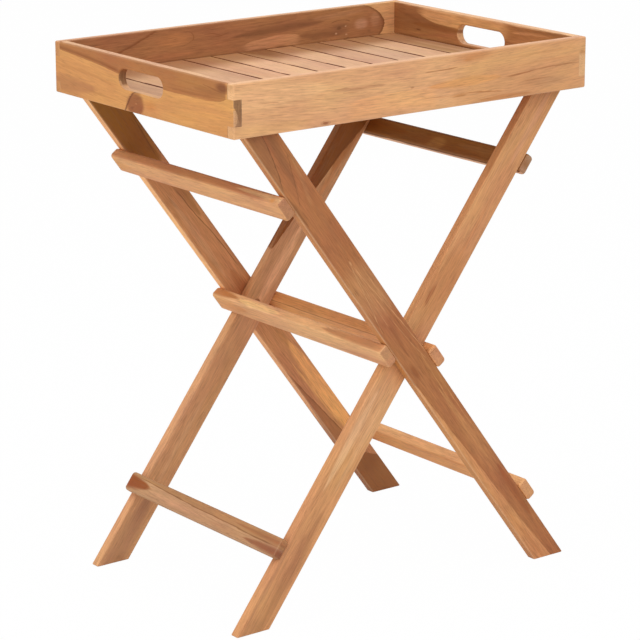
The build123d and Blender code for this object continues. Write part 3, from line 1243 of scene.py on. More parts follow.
RIGHT_END_TEAK = Teak(
    body=Tone(164, 107, 62), pale=Tone(175, 117, 71), deep=Tone(129, 78, 42), end=Tone(224, 174, 126),
    lean=(-20, 0), wander=9, edge=0.1, seed=5,
    figure_and_painted_light=(
        Streak((-300, 10), (-80, 14), 26, 24, Tone(142, 90, 51), 0.75, core=0.3),
        Streak((-196, 26), (-126, 10), 5, 5, Tone(130, 79, 42), 0.5),
        Streak((-200, 6), (-150, 14), 3, 3, Tone(156, 103, 63), 0.5),
        Course(
            ((-150, 34), (-122, 24), (-90, 19), (-40, 18), (70, 18)), 40, 5, Tone(206, 149, 97), 0.95,
            core=0.9, fade=0.14,
        ),
        Streak((-130, 25), (-60, 21), 4, 3, Tone(210, 155, 107), 0.5),
        Streak((-160, 9), (-30, 9), 8, 8, Tone(137, 81, 40), 0.8, core=0.2),
        Patch((-140, 1), 16, 4, Tone(109, 59, 27), 0.75),
        Course(((-165, -9), (-110, -4), (-50, 5)), 3.6, 3.6, Tone(160, 100, 61), 0.8),
        Streak((-190, -10), (-120, -13), 3, 4, Tone(127, 70, 32), 0.6),
        Streak((-130, -12), (-10, -11), 3.4, 7, Tone(115, 61, 24), 0.85),
        Streak((52, 10), (240, 18), 14, 14, Tone(179, 122, 73), 0.8),
        Streak((64, 24), (150, 27), 4, 3, Tone(202, 142, 94), 0.6),
        Streak((110, 30), (220, 34), 4, 3.6, Tone(148, 97, 58), 0.7),
        # Painted highlight: a paler strip along the top of the inside face, under the top arris.
        Streak((-300, 36), (300, 36), 1, 4.2, Tone(227, 179, 134), 0.7, core=0.4),
        PAINTED_TOP_RIM_HIGHLIGHT,
    ),
)

SLAT_TONES = (
    Tone(188, 145, 110), Tone(197, 150, 113), Tone(191, 147, 112), Tone(195, 150, 115),
    Tone(204, 155, 117), Tone(216, 168, 130), Tone(206, 159, 123), Tone(211, 165, 127),
    Tone(197, 150, 118), Tone(202, 160, 126), Tone(207, 161, 124), Tone(162, 118, 80),
)
SLAT_TEAK = Teak(
    body=Tone(204, 158, 120), pale=Tone(223, 177, 141), deep=Tone(179, 129, 94), lean=(10, 0), wander=3,
    bands=0.25, rings=0.14, dashes=0.22, fibre=0.6, mottle=0.18, edge=0,
    figure_and_painted_light=(
        # Painted shade in the gaps between the slats: dark brown along both long edges of each slat.
        Streak((-900, -23.7), (900, -23.7), 2.2, 6, Tone(98, 48, 24), 1.4, core=0.6),
        Streak((-900, 23.7), (900, 23.7), 6, 2.2, Tone(98, 48, 24), 1.4, core=0.6),
        # Painted shade at the back end of the slat, next to the back board.
        Patch((-206, 0), 70, 900, Tone(175, 122, 81), 0.8, core=0.2),
        # Painted shade on the slat's side faces, the walls of the gaps.
        side_wash(Tone(112, 58, 28), 0.9, Face.UPPER_SIDE),
        side_wash(Tone(112, 58, 28), 0.9, Face.LOWER_SIDE),
        # Painted shade: a dark line across the slat where it meets the back board.
        Streak((-199, -80), (-199, 80), 2.4, 4, Tone(80, 42, 22), 0.8, core=0.4),
    ),
)
# Painted shade over the back end of each slat, next to the back board.
SHADED_END = Patch((-216, 0), 234, 900, Tone(156, 107, 70), 0.9, core=0.52)
BROWN_END = Patch((-210, 4), 190, 70, Tone(119, 70, 35), 0.7, core=0.45)
# How strong the darker brown at the back end is, by the slat's place from the left, from 0.
BROWN_SLATS = {6: 0.75, 8: 0.3, 10: 0.15}
LEDGER_TEAK = Teak(body=Tone(190, 138, 98), pale=Tone(206, 154, 110), deep=CINNAMON, seed=6.0)

OUTER_FRONT_LEG_TEAK = Teak(
    body=Tone(169, 107, 64), pale=Tone(180, 117, 73), deep=Tone(135, 79, 43),
    lean=(10, 0), wander=7, seed=7,
    figure_and_painted_light=(
        Patch((-130, 0), 130, 90, Tone(199, 148, 99), 0.35, core=0.4),
        Course(
            ((-470, 4), (-425, -2), (-380, -10), (-335, -23)), 0.8, 22, Tone(159, 106, 65), 0.85,
            core=0.8, fade=0.02,
        ),
        Streak((-460, 10), (-320, -4), 12, 8, Tone(145, 95, 58), 0.75, core=0.2),
        Course(((-432, -1), (-380, -10), (-340, -22)), 1.6, 0.9, Tone(108, 67, 38), 0.75),
        Course(((-380, 15), (-330, -4), (-303, -16)), 0.9, 1.2, Tone(120, 75, 42), 0.65),
        Course(((-378, 17), (-340, 10), (-290, -2)), 8, 1, Tone(174, 120, 77), 0.5, core=0.2),
        Streak((-336, -21), (-270, -20), 3, 4, Tone(129, 80, 46), 0.7),
        Streak((-300, 6), (-190, 2), 6, 6, Tone(163, 107, 67), 0.5),
        Course(((-186, 0), (-140, 4), (-60, 13), (20, 19)), 1, 1, Tone(211, 155, 105), 0.6),
        Course(((-186, -1), (-150, -6), (-100, -14), (-60, -20)), 0.9, 0.9, Tone(216, 165, 113), 0.55),
        Course(((-176, 0), (-120, 1), (-40, 6), (30, 14)), 0.8, 0.8, Tone(204, 147, 97), 0.5),
        Course(((-170, -2), (-120, -5), (-60, -6)), 0.8, 0.8, Tone(212, 160, 108), 0.45),
        Patch((-184, -0.5), 12, 4, Tone(209, 156, 107), 0.6),
        Streak((-150, 10), (-80, 13), 4, 4, Tone(195, 140, 92), 0.6),
        Streak((-164, -17), (-136, -17), 1.4, 1.2, Tone(129, 81, 45), 0.6),
        Streak((-112, -18), (-60, -17), 1.2, 1.2, Tone(133, 82, 45), 0.5),
        Streak((-70, -4), (0, -6), 3.4, 4, Tone(143, 84, 47), 0.7),
        Patch((20, -12), 40, 12, Tone(142, 81, 44), 0.75),
        Course(((0, 2), (60, -2), (130, -4), (190, -2)), 1, 1, Tone(151, 94, 51), 0.45),
        Course(((-10, 12), (60, 8), (140, 8), (220, 12)), 0.9, 0.9, Tone(207, 148, 93), 0.45),
        Course(((30, 16), (110, 14), (190, 16)), 0.9, 0.9, Tone(208, 151, 95), 0.4),
        Streak((60, 4), (230, 6), 8, 8, Tone(197, 141, 86), 0.5),
        Patch((190, 8), 160, 44, Tone(193, 137, 82), 0.55, core=0.4),
        Streak((235, 12), (360, 11), 8, 9, Tone(157, 91, 50), 0.85, core=0.2),
        Streak((340, 14), (470, 12), 7, 7, Tone(183, 118, 71), 0.5),
        Course(
            ((30, -24), (150, -16.6), (260, -9.6), (340, -5.2), (450, 2.4)), 0.9, 40, Tone(205, 141, 91),
            0.95, core=0.9, fade=0.02,
        ),
        Course(
            ((120, -18.4), (260, -9.6), (340, -5.2), (450, 2.4)), 2.2, 0.8, Tone(144, 85, 46), 0.5,
            fade=0.05,
        ),
        Streak((300, -16), (450, -8), 5, 6, Tone(191, 121, 72), 0.4),
        side_wash(Tone(196, 132, 78), 0.8, Face.LOWER_SIDE),
    ),
)
INNER_FRONT_LEG_TEAK = Teak(
    body=Tone(204, 145, 96), pale=Tone(214, 156, 105), deep=Tone(163, 107, 68),
    lean=(-8, 0), wander=6, bands=0.2, rings=0.1, dashes=0.45, mottle=0.18, seed=11,
    figure_and_painted_light=(
        Patch((-112, 0), 150, 90, Tone(188, 124, 76), 0.6, core=0.4),
        Patch((90, 0), 150, 90, Tone(230, 184, 137), 0.25, core=0.4),
        Streak((-440, 6), (-300, 8), 10, 10, Tone(212, 155, 118), 0.5),
        Streak((-380, -9), (-230, -8), 3, 3, Tone(209, 152, 108), 0.5),
        *pore_lines(
            Tone(174, 121, 82), 0.5, 0.9,
            (-372, -7, -346, -8), (-352, -11, -322, -11), (-330, -6, -300, -7), (-306, -10, -276, -10),
            (-280, -7, -250, -7),
        ),
        Streak((-200, 3), (-160, 2), 0.9, 0.9, Tone(160, 105, 64), 0.5),
        Streak((-260, 6), (-225, 5), 0.9, 0.9, Tone(170, 120, 78), 0.5),
        Streak((-260, 5), (-120, 5), 4, 4, Tone(200, 136, 84), 0.5),
        Streak((-300, -16), (-110, -15), 5, 6, Tone(218, 161, 107), 0.5),
        Patch((-90, -8), 48, 10, Tone(166, 100, 59), 0.7),
        *pore_lines(
            Tone(135, 75, 41), 0.6, 1,
            (-108, -6, -88, -5), (-98, -10, -74, -9), (-84, -6, -68, -7),
        ),
        Streak((-60, 0), (0, 0), 16, 16, Tone(190, 127, 81), 0.5),
        Streak((50, -8), (225, -10), 9, 10, Tone(227, 176, 130), 0.8, core=0.3),
        Streak((60, 10), (220, 10), 7, 7, Tone(219, 166, 120), 0.5),
        Course(((15, -8), (60, -7), (150, -4), (220, -2)), 0.9, 0.9, Tone(182, 131, 90), 0.6),
        Course(((260, 0), (330, 3), (400, 6), (440, 8)), 0.9, 0.9, Tone(158, 107, 68), 0.4),
        Streak((225, 8), (470, 6), 14, 12, Tone(174, 120, 78), 0.7, core=0.2),
        Course(((250, 8), (330, 12), (430, 14)), 1.1, 1.1, Tone(153, 104, 66), 0.35),
        Course(((280, -8), (350, -6), (440, -2)), 1.1, 1.1, Tone(156, 107, 70), 0.3),
        Streak((300, -16), (440, -14), 5, 6, Tone(181, 130, 91), 0.5),
        Patch((440, 0), 90, 50, Tone(170, 121, 82), 0.5),
        side_wash(Tone(190, 130, 84), 0.9, Face.LOWER_SIDE, -700, -220),
        side_wash(Tone(206, 146, 98), 0.9, Face.LOWER_SIDE, -300, 80),
        side_wash(Tone(206, 148, 98), 0.8, Face.LOWER_SIDE, 40, 700),
    ),
)
OUTER_BACK_LEG_TEAK = Teak(
    body=Tone(200, 136, 90), pale=Tone(216, 152, 102), deep=Tone(151, 99, 61),
    lean=(10, 0), wander=7, seed=12,
    figure_and_painted_light=(
        # Painted shade under the tray: the top of the leg darker.
        Streak((-560, 0), (-250, 2), 40, 40, Tone(153, 98, 37), 0.95, core=0.5),
        Course(((-380, 19), (-330, 13), (-285, 9)), 1.6, 1.2, Tone(110, 70, 32), 0.7),
        Streak((-360, 17), (-270, 14), 4, 4, Tone(169, 119, 62), 0.6),
        Streak((-290, 8), (-160, 12), 12, 12, Tone(166, 108, 65), 0.8),
        Course(((-236, 2), (-180, 6), (-120, 12), (-56, 14)), 1.7, 1.3, Tone(122, 75, 44), 0.75),
        Streak((-240, -10), (-50, -12), 7, 9, Tone(204, 147, 104), 0.75, core=0.2),
        Course(((-200, -3), (-130, -6), (-70, -8)), 1, 1, Tone(221, 161, 117), 0.5),
        Streak((-120, 18), (-30, 18), 4, 5, Tone(177, 117, 77), 0.6),
        Streak((-70, 0), (30, 0), 14, 14, Tone(178, 113, 68), 0.7, core=0.2),
        Streak((20, 4), (120, 6), 12, 12, Tone(200, 138, 82), 0.6),
        Streak((90, 8), (330, 10), 16, 18, Tone(245, 177, 108), 0.9, core=0.4),
        Streak((130, -8), (230, -4), 3, 3, Tone(252, 190, 112), 0.5),
        Course(
            ((125, -25), (160, -20), (200, -16), (250, -10), (300, -4), (352, 2)), 1, 40,
            Tone(173, 113, 72), 0.95, core=0.9, fade=0.03,
        ),
        Course(((150, -21), (200, -16), (250, -10), (300, -4), (345, 1)), 1.3, 1, Tone(133, 84, 50), 0.75),
        Course(
            ((342, -30), (350, 1), (362, 10), (384, 28)), 140, 1.4, Tone(155, 97, 53), 0.95, core=0.95,
            fade=0.01, upright=True,
        ),
        Patch((375, 2), 48, 50, Tone(133, 79, 38), 0.4, core=0),
        side_wash(Tone(242, 177, 119), 0.85, Face.LOWER_SIDE, -700, 300),
    ),
)
INNER_BACK_LEG_TEAK = Teak(
    body=Tone(200, 144, 100), pale=Tone(211, 157, 112), deep=Tone(156, 107, 71),
    lean=(-8, 0), wander=6, seed=13,
    figure_and_painted_light=(
        # Painted shade under the tray: the top of the leg darker.
        Streak((-420, 6), (-215, 6), 22, 20, Tone(174, 105, 57), 0.8, core=0.3),
        Streak((-260, 10), (-160, 6), 9, 9, Tone(193, 121, 75), 0.6),
        Course(
            ((-330, 17), (-310, 14), (-250, 2), (-195, -7), (-130, -17), (-76, -24)), 3.4, 50,
            Tone(133, 73, 21), 0.97, core=0.9, fade=0.02,
        ),
        Course(((-310, 14), (-250, 2), (-195, -7), (-130, -17)), 2.4, 0.8, Tone(112, 58, 23), 0.5),
        Streak((-150, 6), (10, 4), 14, 12, Tone(236, 177, 133), 0.7, core=0.2),
        Streak((30, 10), (180, 10), 9, 9, Tone(194, 138, 94), 0.6),
        Streak((40, -18), (330, -18), 6, 8, Tone(218, 163, 119), 0.7, core=0.2),
        Streak((140, 2), (330, 2), 7, 7, Tone(206, 154, 114), 0.6),
        Course(((110, 4), (190, 6), (290, 5)), 1, 1, Tone(169, 120, 85), 0.35),
        Streak((300, 2), (540, 0), 26, 26, Tone(175, 123, 89), 0.85, core=0.3),
        Patch((428, 8), 40, 30, Tone(159, 108, 74), 0.5),
        # Painted shade under the tray on the upper part of the leg's narrow side.
        side_wash(Tone(146, 86, 38), 0.95, Face.LOWER_SIDE, -700, -70),
        side_wash(Tone(213, 155, 108), 0.7, Face.LOWER_SIDE, -120, 700),
    ),
)
OUTER_UPPER_RAIL_TEAK = Teak(
    body=Tone(212, 152, 102), pale=Tone(219, 161, 111), deep=Tone(180, 120, 77), end=Tone(172, 118, 84),
    lean=(14, 0), wander=6, rings=0.3, dashes=0.55, seed=8,
    figure_and_painted_light=(
        Streak((-260, 0), (-150, 0), 18, 18, Tone(210, 146, 86), 0.7),
        Streak((-72, 9), (-46, 8), 1, 1, Tone(185, 121, 74), 0.7),
        Streak((-58, 6), (-30, 5), 1, 1, Tone(186, 123, 76), 0.6),
        Streak((-140, -4), (-20, -5), 4, 4, Tone(224, 162, 107), 0.5),
        Streak((20, 8), (110, 6), 3, 3, Tone(208, 150, 100), 0.5),
        Streak((60, -6), (190, -4), 5, 5, Tone(226, 171, 115), 0.6),
        Course(((40, -2), (100, -5), (180, -3)), 0.9, 0.9, Tone(198, 141, 91), 0.4),
        side_wash(Tone(191, 128, 85), 0.95, Face.UPPER_SIDE),
        Streak((-300, 0), (-120, 0), 10, 10, Tone(194, 133, 84), 0.6, face=Face.UPPER_SIDE),
        Streak((92, 0), (320, 0), 10, 10, Tone(231, 189, 134), 0.72, face=Face.UPPER_SIDE),
        Patch((183, 3), 14, 9, Tone(217, 152, 87), 0.8, face=Face.UPPER_SIDE),
    ),
)
LEFT_STOP_RAIL_TEAK = Teak(
    body=Tone(219, 164, 115), pale=Tone(227, 174, 123), deep=Tone(189, 134, 91), end=Tone(178, 124, 88),
    lean=(30, 0), wander=6, rings=0.3, dashes=0.55, seed=14,
    figure_and_painted_light=(
        Streak((-280, 2), (-110, 4), 22, 22, Tone(211, 145, 86), 0.75, core=0.2),
        Streak((-90, 4), (80, 2), 9, 8, Tone(224, 170, 118), 0.7),
        Streak((20, -8), (130, -9), 5, 6, Tone(207, 150, 111), 0.6),
        Streak((90, -6), (260, -8), 12, 12, Tone(198, 134, 96), 0.7),
        Course(((-110, -10), (-40, -2), (30, 6)), 1, 1, Tone(204, 145, 93), 0.4),
        Course(((20, -6), (90, 2), (150, 10)), 1, 1, Tone(193, 130, 90), 0.4),
        side_wash(Tone(232, 176, 125), 0.95, Face.UPPER_SIDE),
        Streak((-300, 0), (-128, 0), 12, 12, Tone(188, 117, 66), 0.9, core=0.3, face=Face.UPPER_SIDE),
        Streak((-138, 2), (-30, 2), 9, 9, Tone(252, 208, 142), 0.75, core=0.2, face=Face.UPPER_SIDE),
        Streak((50, 0), (320, 0), 14, 14, Tone(194, 129, 86), 0.85, core=0.2, face=Face.UPPER_SIDE),
    ),
)
RIGHT_STOP_RAIL_TEAK = Teak(
    body=Tone(222, 156, 99), pale=Tone(231, 166, 108), deep=Tone(181, 120, 74), end=Tone(198, 140, 98),
    lean=(20, 0), wander=6, seed=15,
    figure_and_painted_light=(
        Streak((-300, 13), (300, 13), 1.4, 1.2, Tone(147, 89, 51), 0.6, core=0.3),
        Streak((-120, 6), (60, 4), 1.2, 1.2, Tone(170, 109, 67), 0.4),
    ),
)
OUTER_LOWER_RAIL_TEAK = Teak(
    body=Tone(221, 154, 97), pale=Tone(230, 165, 107), deep=Tone(181, 120, 74), end=Tone(204, 146, 102),
    lean=(24, 0), wander=6, seed=16,
    figure_and_painted_light=(
        Streak((-320, -10), (-60, -12), 8, 9, Tone(213, 140, 91), 0.7, core=0.2),
        Streak((-60, 2), (110, 4), 8, 8, Tone(227, 163, 103), 0.6),
        Course(((-130, 4), (-60, 8), (20, 10)), 1, 1, Tone(201, 131, 83), 0.4),
        side_wash(Tone(234, 176, 121), 0.95, Face.UPPER_SIDE),
        Streak((-140, -3), (-60, -3), 4, 4, Tone(251, 200, 140), 0.5, face=Face.UPPER_SIDE),
    ),
)
INNER_UPPER_RAIL_TEAK = Teak(
    body=Tone(140, 88, 37), pale=Tone(150, 99, 46), deep=Tone(109, 66, 27), end=Tone(176, 134, 102),
    lean=(10, 0), wander=6, seed=17,
    figure_and_painted_light=(
        Streak((-320, 2), (-60, 0), 16, 16, Tone(131, 73, 13), 0.7, core=0.2),
        Patch((-4, -4), 48, 24, Tone(164, 114, 59), 0.8, slant=12, core=0.5),
        Patch((-28, 6), 16, 9, Tone(131, 78, 28), 0.6),
        Streak((30, 2), (240, 0), 14, 14, Tone(151, 103, 58), 0.7),
        Streak((50, 6), (110, 5), 1.2, 1.2, Tone(107, 67, 34), 0.5),
        Streak((-20, -10), (60, -11), 1.2, 1.2, Tone(112, 67, 29), 0.5),
        # Painted shade and painted highlight on the lower narrow side: a dark band next to the broad face in
        # shade, and a pale band where the floor lights it.
        Streak((-400, 6), (400, 6), 5, 4, Tone(112, 66, 32), 0.6, core=0.7, face=Face.LOWER_SIDE),
        Streak((-400, -4), (400, -4), 8.2, 9, Tone(228, 178, 138), 0.9, core=0.9, face=Face.LOWER_SIDE),
    ),
)
INNER_LOWER_RAIL_TEAK = Teak(
    body=Tone(182, 136, 98), pale=Tone(190, 144, 107), deep=Tone(145, 100, 67), end=Tone(176, 128, 95),
    lean=(-10, 0), wander=5, seed=18,
    figure_and_painted_light=(
        Streak((-300, 0), (-118, 0), 18, 18, Tone(140, 70, 30), 1, core=0.4),
        Course(
            ((-170, 10), (-40, 5), (60, 2), (200, 1)), 30, 0.8, Tone(171, 122, 78), 0.85, core=0.93,
            fade=0.04,
        ),
        Streak((70, 8), (260, 6), 6, 6, Tone(145, 84, 47), 0.6),
        Streak((-130, -3), (10, -5), 5, 6, Tone(196, 145, 107), 0.8, core=0.2),
        Streak((20, -6), (120, -7), 5, 6, Tone(173, 122, 87), 0.5),
        Streak((100, -6), (280, -8), 10, 10, Tone(141, 83, 52), 0.9, core=0.2),
        Course(((-170, 10), (-40, 5), (60, 2), (190, 1)), 1.5, 1, Tone(124, 77, 44), 0.8, fade=0.1),
        Course(((10, -2), (60, -3), (120, -2)), 0.9, 0.9, Tone(141, 95, 60), 0.4),
        side_wash(Tone(171, 118, 77), 0.6, Face.UPPER_SIDE),
        Streak((2, 24), (0, 6), 12, 12, Tone(172, 116, 74), 0.7, core=0.6, face=Face.NEAR_END),
    ),
)
STAND_TEAKS = {
    "outer_front_leg": OUTER_FRONT_LEG_TEAK,
    "outer_back_leg": OUTER_BACK_LEG_TEAK,
    "inner_front_leg": INNER_FRONT_LEG_TEAK,
    "inner_back_leg": INNER_BACK_LEG_TEAK,
    "outer_upper_rail": OUTER_UPPER_RAIL_TEAK,
    "outer_lower_rail": OUTER_LOWER_RAIL_TEAK,
    "left_stop_rail": LEFT_STOP_RAIL_TEAK,
    "right_stop_rail": RIGHT_STOP_RAIL_TEAK,
    "inner_upper_rail": INNER_UPPER_RAIL_TEAK,
    "inner_lower_rail": INNER_LOWER_RAIL_TEAK,
}
DOWEL_BEECH = Teak(body=Tone(217, 185, 143), pale=CREAM, deep=TAN, seed=9.0)


class Side(Enum):
    """The front and the back of the table."""

    FRONT = "front"
    BACK = "back"


ALONG_TRAY = Axes(Vector((1, 0, 0)), Vector((0, 0, 1)))
ACROSS_TRAY = Axes(Vector((0, -1, 0)), Vector((0, 0, 1)))
LEDGER_RUN = Axes(Vector((1, 0, 0)), Vector((0, 1, 0)))
SLAT_RUN = Axes(Vector((0, -1, 0)), Vector((1, 0, 0)))


class Woodwork(ABC):
    """A sub-assembly made of boards."""

    @abstractmethod
    def boards(self) -> list[Board]:
        """List the boards with their wood."""

    def dress(self, shop: WoodShop) -> None:
        """Give every board its wood.

        Args:
            shop: where the wood is made.
        """
        for board in self.boards():
            shop.dress(board)


@dataclass
class Tray(Woodwork):
    """The slatted tray: four finger-jointed boards, twelve slats and their two ledgers."""

    slat_count: int = 12
    board_height: float = 71.0 * MM
    board_thickness: float = 13.0 * MM
    finger_drop: float = 20.0 * MM
    finger_rise: float = 16.5 * MM
    shade_drift: float = 26.0
    shade_step: float = 2.4
    first_seed: float = 3.0
    seed_step: float = 1.37

    def finger(self, node: str, axis: int, side: float) -> Finger:
        """Work out where the finger joint shows on a board.

        Args:
            node: the board.
            axis: the frame axis that the board runs along.
            side: 1 on a board with fingers, -1 on one with slots.

        Returns:
            The joint, on the board's own axes.
        """
        low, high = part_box(node)
        shoulder = (high[axis] - low[axis]) / 2 - self.board_thickness
        middle = (self.finger_rise - self.finger_drop) / 2
        half_height = (self.board_height - self.finger_rise - self.finger_drop) / 2
        return Finger(shoulder, middle, half_height, side)

    def boards(self) -> list[Board]:
        """List the wooden pieces of the tray with their wood.

        Returns:
            The four boards, the slats from the left, and the ledgers.
        """
        long_joint = self.finger("tray_front_board", 0, -1.0)
        end_joint = self.finger("tray_left_end", 1, 1.0)
        boards = [
            Board("tray_front_board", ALONG_TRAY, FRONT_BOARD_TEAK, long_joint),
            Board("tray_back_board", ALONG_TRAY, BACK_BOARD_TEAK, long_joint),
            Board("tray_left_end", ACROSS_TRAY, LEFT_END_TEAK, end_joint),
            Board("tray_right_end", ACROSS_TRAY, RIGHT_END_TEAK, end_joint),
        ]
        for number in range(self.slat_count):
            boards.append(Board(f"tray_slat_{number + 1:02d}", SLAT_RUN, self.slat_teak(number)))
        for side in Side:
            boards.append(Board(f"{side.value}_ledger", LEDGER_RUN, LEDGER_TEAK))
        return boards

    def slat_teak(self, number: int) -> Teak:
        """Choose the wood of one slat.

        Args:
            number: the slat's place from the left, from 0.

        Returns:
            The wood, with the slat's own tone and grain, painted shade at its back end and in its gaps, and a
            darker brown at the back end of some slats.
        """
        # The painted shade at the back end reaches a little further on some slats than on others.
        reach = SHADED_END.span + self.shade_drift * math.sin(self.shade_step * number)
        figure_and_painted_light = [replace(SHADED_END, span=reach), *SLAT_TEAK.figure_and_painted_light]
        if number in BROWN_SLATS:
            figure_and_painted_light.append(replace(BROWN_END, strength=BROWN_SLATS[number]))
        return replace(
            SLAT_TEAK,
            body=SLAT_TONES[number % len(SLAT_TONES)],
            figure_and_painted_light=tuple(figure_and_painted_light),
            seed=self.first_seed + self.seed_step * number,
        )


class Lean(Enum):
    """Which way the legs run down: to the right in the outer frame, to the left in the inner."""

    OUTER = 1
    INNER = -1


@dataclass
class CrossFrame(Woodwork):
    """One of the two frames of the stand: two legs with the rails across them."""

    name: str
    lean: Lean
    rails: tuple[str, ...]
    slope: float = field(init=False)

    def __post_init__(self) -> None:
        """Read the slope of the legs from the pivot and the front foot."""
        pivot = Vector(frame["joints"][0]["pos_m"])
        mounts = {mount["name"]: Vector(mount["pos_m"]) for mount in frame["record"]["mounts"]}
        foot = mounts[f"{self.name}_front_foot"]
        self.slope = math.atan2(pivot.z - foot.z, abs(foot.x - pivot.x))

    def down_leg(self) -> Vector:
        """Give the direction down the legs."""
        return Vector((self.lean.value * math.cos(self.slope), 0.0, -math.sin(self.slope)))

    def leg_axes(self) -> Axes:
        """Give a leg's axes, with its grain down the leg and its broad face to the front."""
        down = self.down_leg()
        return Axes(down, Vector((0, -1, 0)).cross(down))

    def rail_axes(self) -> Axes:
        """Give a rail's axes, with its grain from the back to the front."""
        return Axes(Vector((0, -1, 0)), -self.down_leg())

    def boards(self) -> list[Board]:
        """List the legs and rails with their wood.

        Returns:
            The front leg, the back leg and the rails.
        """
        legs = [f"{self.name}_{side.value}_leg" for side in Side]
        boards = [Board(leg, self.leg_axes(), STAND_TEAKS[leg]) for leg in legs]
        return boards + [Board(rail, self.rail_axes(), STAND_TEAKS[rail]) for rail in self.rails]


@dataclass
class Fixings:
    """The hidden fixings: pivot bolts, inserts and washers, slat screws and rail dowels."""

    steel: Metal = Metal("browned_steel", Tone(168, 114, 76), Tone(128, 84, 54), 0.45, 0.2, 0.3)
    brass: Metal = Metal("turned_brass", Tone(199, 154, 74), Tone(140, 98, 44), 0.25, 0.2)

    def dress(self, shop: WoodShop) -> None:
        """Give every fixing its finish.

        Args:
            shop: where the dowels' wood is made.
        """
        steel = self.steel.material()
        brass = self.brass.material()
        finishes = {"slat_screws": steel}
        for side in Side:
            finishes[f"{side.value}_pivot_bolt"] = steel
            finishes[f"{side.value}_pivot_washer"] = steel
            finishes[f"{side.value}_pivot_insert"] = brass
        for node, finish in finishes.items():
            cover(node, finish)
            log.info("%s: %s", node, finish.name)
        for name in ("outer", "inner"):
            shop.dress(Board(f"{name}_rail_dowels", LEDGER_RUN, DOWEL_BEECH))


@dataclass(frozen=True)
class Lamp:
    """A large soft lamp: where it stands, its width and height, and its power in watts."""

    name: str
    place: tuple[float, float, float]
    size: tuple[float, float]
    power: float

    def build(self, aim: Vector) -> None:
        """Hang the lamp so that it faces a point.

        Args:
            aim: the point.
        """
        light = bpy.data.lights.new(self.name, "AREA")
        light.shape = "RECTANGLE"
        light.size, light.size_y = self.size
        light.energy = self.power
        lamp = bpy.data.objects.new(self.name, light)
        lamp.location = self.place
        lamp.rotation_euler = (aim - Vector(self.place)).to_track_quat("-Z", "Y").to_euler()
        bpy.context.scene.collection.objects.link(lamp)
        log.info("%s: %.0f W", self.name, self.power)


LAMPS = (
    Lamp("front_lamp", (-0.5, -2.9, 2.4), (3.4, 1.3), 25.0),
    Lamp("top_lamp", (-0.5, -0.3, 3.2), (3.2, 3.2), 42.0),
    Lamp("low_left_lamp", (-3.3, 0.0, 0.6), (2.0, 1.1), 13.0),
    Lamp("high_left_lamp", (-2.6, -0.3, 2.4), (2.0, 1.6), 14.0),
)


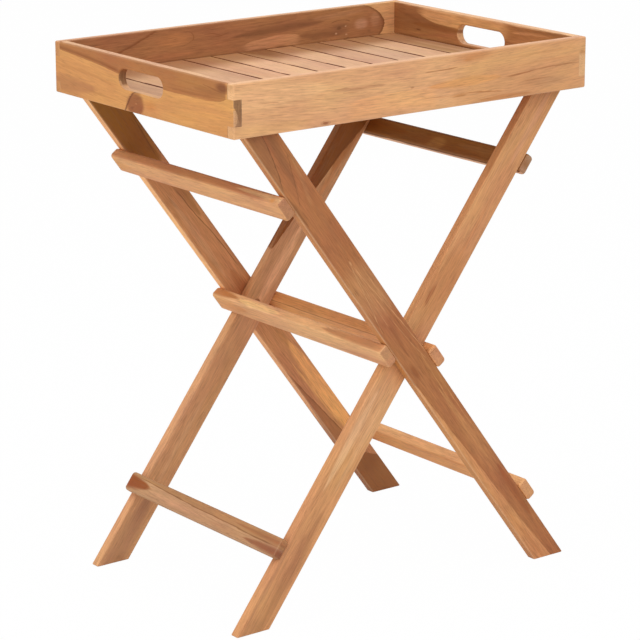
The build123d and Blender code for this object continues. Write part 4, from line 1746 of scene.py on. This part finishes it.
@dataclass
class Studio:
    """A pale floor, soft lamps all round and the camera."""

    floor_half: float = 15.0
    floor_paint: float = 0.85
    floor_level: float = 0.985
    sky_level: float = 0.62
    lamp_aim: float = 0.45
    camera_place: tuple[float, float, float] = (-2.28512, -2.97511, 1.39166)
    camera_yaw: float = 37.4916
    camera_pitch: float = -15.4132
    camera_lens: float = 154.4
    camera_sensor: float = 36.0

    def build(self) -> None:
        """Set up the floor, the surrounding light, the lamps and the camera."""
        self.floor()
        self.surround()
        for lamp in LAMPS:
            lamp.build(Vector((0.0, 0.0, self.lamp_aim)))
        self.camera()

    def seen(self, w: Wiring) -> Socket:
        """Tell the rays that show the background: to the camera, in a reflection, through glass.

        Args:
            w: the wiring of the background's material, or of the world.

        Returns:
            1 on those rays, 0 on the rest.
        """
        path = w.node("ShaderNodeLightPath", {}).outputs
        seen = w.math("MAXIMUM", path["Is Camera Ray"], path["Is Glossy Ray"])
        return w.math("MAXIMUM", seen, path["Is Transmission Ray"])

    def floor(self) -> None:
        """Lay a plain white floor that keeps a soft shadow."""
        mesh = bpy.data.meshes.new("studio_floor")
        shape = bmesh.new()
        bmesh.ops.create_grid(shape, x_segments=1, y_segments=1, size=self.floor_half)
        shape.to_mesh(mesh)
        shape.free()
        floor = bpy.data.objects.new("studio_floor", mesh)
        bpy.context.scene.collection.objects.link(floor)

        material = blank_material("white_floor")
        w = Wiring(material.node_tree)
        grey = (self.floor_paint, self.floor_paint, self.floor_paint, 1.0)
        paint = w.node("ShaderNodeBsdfDiffuse", {"Color": grey}).outputs[0]
        glow = w.node("ShaderNodeEmission", {"Color": WHITE.linear(), "Strength": 1.0}).outputs[0]
        share = w.math("MULTIPLY", self.seen(w), self.floor_level)
        both = w.node("ShaderNodeMixShader", {0: share, 1: paint, 2: glow}).outputs[0]
        w.node("ShaderNodeOutputMaterial", {"Surface": both})
        mesh.materials.append(material)
        log.info("studio_floor: white")

    def surround(self) -> None:
        """Surround the table with soft light, and with white where the background shows."""
        world = bpy.data.worlds.new("studio")
        world.use_nodes = True
        world.node_tree.nodes.clear()
        w = Wiring(world.node_tree)
        strength = w.between(self.seen(w), self.sky_level, 1.0)
        white = w.node("ShaderNodeBackground", {"Color": WHITE.linear(), "Strength": strength})
        w.node("ShaderNodeOutputWorld", {"Surface": white.outputs[0]})
        bpy.context.scene.world = world

    def camera(self) -> None:
        """Place the camera where the photograph was taken from."""
        lens = bpy.data.cameras.new("camera")
        lens.lens = self.camera_lens
        lens.sensor_width = self.camera_sensor
        camera = bpy.data.objects.new("camera", lens)
        camera.location = self.camera_place
        tilt = math.radians(90.0 + self.camera_pitch)
        camera.rotation_euler = (tilt, 0.0, -math.radians(self.camera_yaw))
        bpy.context.scene.collection.objects.link(camera)
        bpy.context.scene.camera = camera
        log.info("camera: %.1f mm lens", self.camera_lens)


def main() -> None:
    """Dress the table piece by piece, then set up the studio."""
    logging.basicConfig(level=logging.INFO)
    bpy.context.scene.view_settings.view_transform = "Standard"
    shop = WoodShop()
    Tray().dress(shop)
    outer_rails = ("outer_upper_rail", "left_stop_rail", "right_stop_rail", "outer_lower_rail")
    CrossFrame("outer", Lean.OUTER, outer_rails).dress(shop)
    CrossFrame("inner", Lean.INNER, ("inner_upper_rail", "inner_lower_rail")).dress(shop)
    Fixings().dress(shop)
    Studio().build()


if __name__ == "__main__":
    main()
